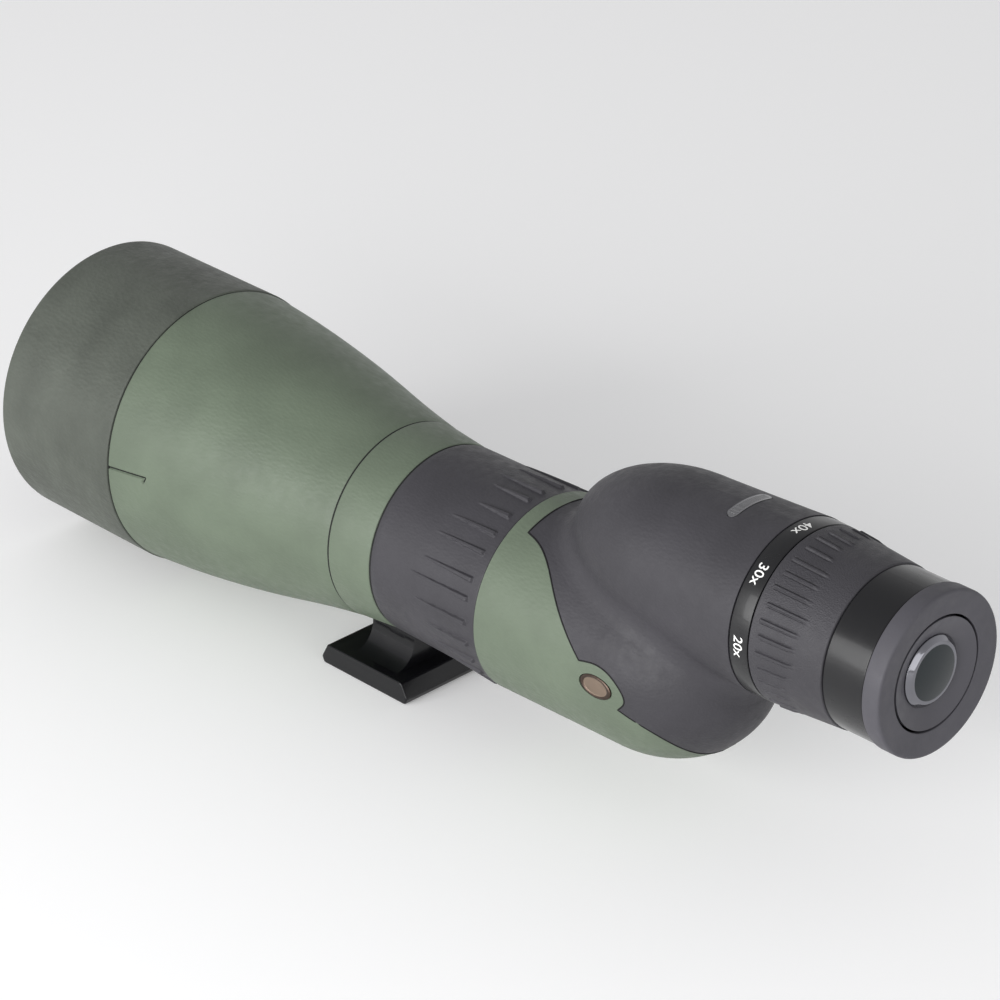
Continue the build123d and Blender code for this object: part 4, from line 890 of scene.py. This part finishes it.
class SCOPE_OT_eyepiece(Operator):
    """Lacquered shell, soft eyecup, polished lens seat and the coated eye lens"""
    bl_idname = "scope.eyepiece"
    bl_label = "Eyepiece"

    def execute(self, context):
        s = context.scene.scope_eyepiece
        dress(NODES["eyepiece_shell"],
              gloss_black("shell_lacquer", (0.008, 0.008, 0.009), 0.22, 0.1))
        low, high = box_mm("eyecup")
        rear, front, radius = low[1], high[1], (high[0] - low[0]) / 2
        bore, mouth, depth = 26.0, 20.05, 2.5
        corners = [(front, bore), (front, radius), (rear, radius), (rear + 0.85, mouth),
                   (rear + depth, mouth), (rear + depth, bore)]
        cup = lathe("eyecup_rubber", corners, [0, 0.5, 1.3, 0.25, 0, 0], EYE_Z, 256, 2.0)
        dress(cup, rubber("eyecup_soft", s.eyecup_colour, 0.5, 0.03, 0.55, 0.05, 1.0))
        seat(cup, "eyecup_group", "eyecup_rubber", "eyecup")
        dress(NODES["eye_lens_cell"],
              rubber("eye_bezel", s.eyecup_colour, 0.4, 0.015, 0.40, 0.04, 1.0))
        seat_y = box_mm("eye_lens")[0][1]
        corners = [(seat_y, 9.0), (seat_y, 12.35), (seat_y - 0.5, 12.3), (seat_y - 1.9, 10.6),
                   (seat_y - 1.9, 9.0)]
        bevel = lathe("eye_lens_bevel", corners, [0, 0.1, 0.15, 0.25, 0], EYE_Z, 192, 0.6)
        dress(bevel, anodised("polished_bevel", (0.20, 0.20, 0.22), 0.09, 1.0, 1200, 0.0))
        seat(bevel, "body", "black_metal")
        lens = lens_dome("eye_glass_dome", seat_y - 1.75, 10.45, 0.9, 3.0, EYE_Z)
        dress(lens, optical_glass("eye_glass", s.coating))
        seat(lens, "body", "coated_glass", "eye_lens")
        return {"FINISHED"}


BAFFLED = ("hood_tube", "objective_cell", "objective_retainer", "objective_spacer")
FOOT_STEEL = ("tripod_bush", "foot_screws")


class SCOPE_OT_objective(Operator):
    """Front lens, its cell and retaining ring, and the inside of the hood"""
    bl_idname = "scope.objective"
    bl_label = "Objective"

    def execute(self, context):
        s = context.scene.scope_eyepiece
        dress(NODES["objective_crown"], optical_glass("front_glass", s.coating))
        inside = anodised("baffle_black", (0.012, 0.012, 0.012), 0.55, 0.3, 900, 0.25)
        for name in BAFFLED:
            dress(NODES[name], inside)
        return {"FINISHED"}


class SCOPE_OT_foot(Operator):
    """Lacquered tripod foot with its steel thread and screws"""
    bl_idname = "scope.foot"
    bl_label = "Tripod foot"

    def execute(self, context):
        dress(NODES["tripod_foot"], gloss_black("foot_lacquer", (0.004, 0.004, 0.005), 0.2, 0.1))
        steel = anodised("steel", (0.46, 0.46, 0.47), 0.3, 1.0, 3000, 0.01)
        for name in FOOT_STEEL:
            dress(NODES[name], steel)
        return {"FINISHED"}


class SCOPE_OT_inside(Operator):
    """Castings, optics, cams and pins inside the tubes"""
    bl_idname = "scope.inside"
    bl_label = "Inside"

    def execute(self, context):
        finishes = {
            "casting": anodised("casting_grey", (0.42, 0.43, 0.44), 0.5, 1.0, 400, 0.03),
            "black_metal": anodised("black_anodised", (0.022, 0.022, 0.024), 0.38, 0.8, 2200, 0.01),
            "steel": anodised("pin_steel", (0.5, 0.5, 0.51), 0.28, 1.0, 3000, 0.01),
            "clear_glass": optical_glass("inner_glass", (0.10, 0.14, 0.12)),
            "felt": felt("hood_felt"),
        }
        done = {*BAFFLED, *FOOT_STEEL, "eye_lens_cell"}
        spare = rubber("spare_rubber", context.scene.scope_armour.black)
        for part in frame["record"]["subparts"]:
            if part["node"] in done:
                continue
            node, finish = NODES[part["node"]], finishes.get(part["material_slot"])
            if finish is not None:
                dress(node, finish)
            elif node.hide_render:
                dress(node, spare)
        return {"FINISHED"}


class SCOPE_OT_stage(Operator):
    """Pale floor, soft studio light and the camera"""
    bl_idname = "scope.stage"
    bl_label = "Stage"

    def execute(self, context):
        s = context.scene.scope_stage
        scene = context.scene
        n = 24
        grid = np.linspace(-6, 6, n)
        gx, gy = np.meshgrid(grid, grid, indexing="ij")
        points = np.stack([gx, gy, 0 * gx - 0.0001], -1).reshape(-1, 3)
        i, j = np.meshgrid(np.arange(n - 1), np.arange(n - 1), indexing="ij")
        quads = np.stack([i * n + j, (i + 1) * n + j, (i + 1) * n + j + 1, i * n + j + 1], -1)
        mesh = bpy.data.meshes.new("studio_floor")
        mesh.from_pydata(points.tolist(), [], quads.reshape(-1, 4).tolist())
        floor = link("studio_floor", mesh)
        material, tree, shader, place = new_material("pale_floor")
        shader.inputs["Base Color"].default_value = (*s.floor, 1)
        shader.inputs["Roughness"].default_value = 0.9
        shader.inputs["Specular IOR Level"].default_value = 0.1
        shader.inputs["Emission Color"].default_value = (1, 1, 1, 1)
        shader.inputs["Emission Strength"].default_value = 0.10
        dress(floor, material)

        world = bpy.data.worlds.new("studio")
        world.use_nodes = True
        back = world.node_tree.nodes["Background"]
        tree = world.node_tree
        place = tree.nodes.new("ShaderNodeTexCoord")
        parts = tree.nodes.new("ShaderNodeSeparateXYZ")
        tree.links.new(place.outputs["Generated"], parts.inputs["Vector"])
        height = spread(tree, parts.outputs["Z"], 0, 1, 0.0, 0.9)
        tree.links.new(shades(tree, height, (1, 1, 1), (0.40, 0.40, 0.41)), back.inputs["Color"])
        back.inputs["Strength"].default_value = s.sky
        scene.world = world

        aim = Vector((0, -0.035, 0.065))

        def softbox(name, place, size, power):
            light = bpy.data.lights.new(name, "AREA")
            light.shape, light.energy = "RECTANGLE", power
            light.size, light.size_y = size
            holder = link(name, light)
            holder.location = place
            holder.rotation_euler = (aim - Vector(place)).to_track_quat("-Z", "Y").to_euler()

        softbox("key_left", (-1.35, -0.10, 0.42), (1.7, 0.75), s.key_power)
        softbox("fill_rear", (-0.25, -1.4, 0.40), (0.9, 0.6), s.fill_power)

        eye = bpy.data.cameras.new("camera")
        eye.sensor_width, eye.lens = 36.0, 157.98
        eye.clip_start, eye.clip_end = 0.05, 50
        camera = link("camera", eye)
        right = Vector((0.71386, -0.70029, -0.00023)).normalized()
        behind = Vector((-0.61685, -0.62896, 0.47318)).normalized()
        up = behind.cross(right)
        turned = Matrix((right, up, behind)).transposed().to_4x4()
        camera.matrix_world = Matrix.Translation((-0.92270, -0.98364, 0.78802)) @ turned
        scene.camera = camera
        scene.view_settings.view_transform = "Standard"
        return {"FINISHED"}


class SCOPE_PT_panel(Panel):
    """Sidebar list of the scope's pieces"""
    bl_idname = "SCOPE_PT_panel"
    bl_label = "Spotting Scope"
    bl_space_type = "VIEW_3D"
    bl_region_type = "UI"
    bl_category = "Scope"

    def draw(self, context):
        for operator in PIECES:
            self.layout.operator(operator.bl_idname)
        for group in ("scope_armour", "scope_grip", "scope_eyepiece", "scope_stage"):
            settings = getattr(context.scene, group)
            column = self.layout.column(align=True)
            for name in settings.__annotations__:
                column.prop(settings, name)


PIECES = (SCOPE_OT_hood, SCOPE_OT_barrel, SCOPE_OT_focus_grip, SCOPE_OT_housing, SCOPE_OT_badges,
          SCOPE_OT_scale, SCOPE_OT_zoom_grip, SCOPE_OT_eyepiece, SCOPE_OT_objective, SCOPE_OT_foot,
          SCOPE_OT_inside, SCOPE_OT_stage)
SETTINGS = {"scope_armour": ScopeArmourSettings, "scope_grip": ScopeGripSettings,
            "scope_eyepiece": ScopeEyepieceSettings, "scope_stage": ScopeStageSettings}


def register():
    """Adds the settings, the operators and the panel."""
    for item in (*SETTINGS.values(), *PIECES, SCOPE_PT_panel):
        bpy.utils.register_class(item)
    for name, group in SETTINGS.items():
        setattr(bpy.types.Scene, name, PointerProperty(type=group))


def unregister():
    """Takes them away again."""
    for name in SETTINGS:
        delattr(bpy.types.Scene, name)
    for item in (SCOPE_PT_panel, *reversed(PIECES), *reversed(SETTINGS.values())):
        bpy.utils.unregister_class(item)


def main():
    """Registers the add-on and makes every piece."""
    register()
    for operator in PIECES:
        group, name = operator.bl_idname.split(".")
        getattr(getattr(bpy.ops, group), name)()


if __name__ == "__main__":
    main()
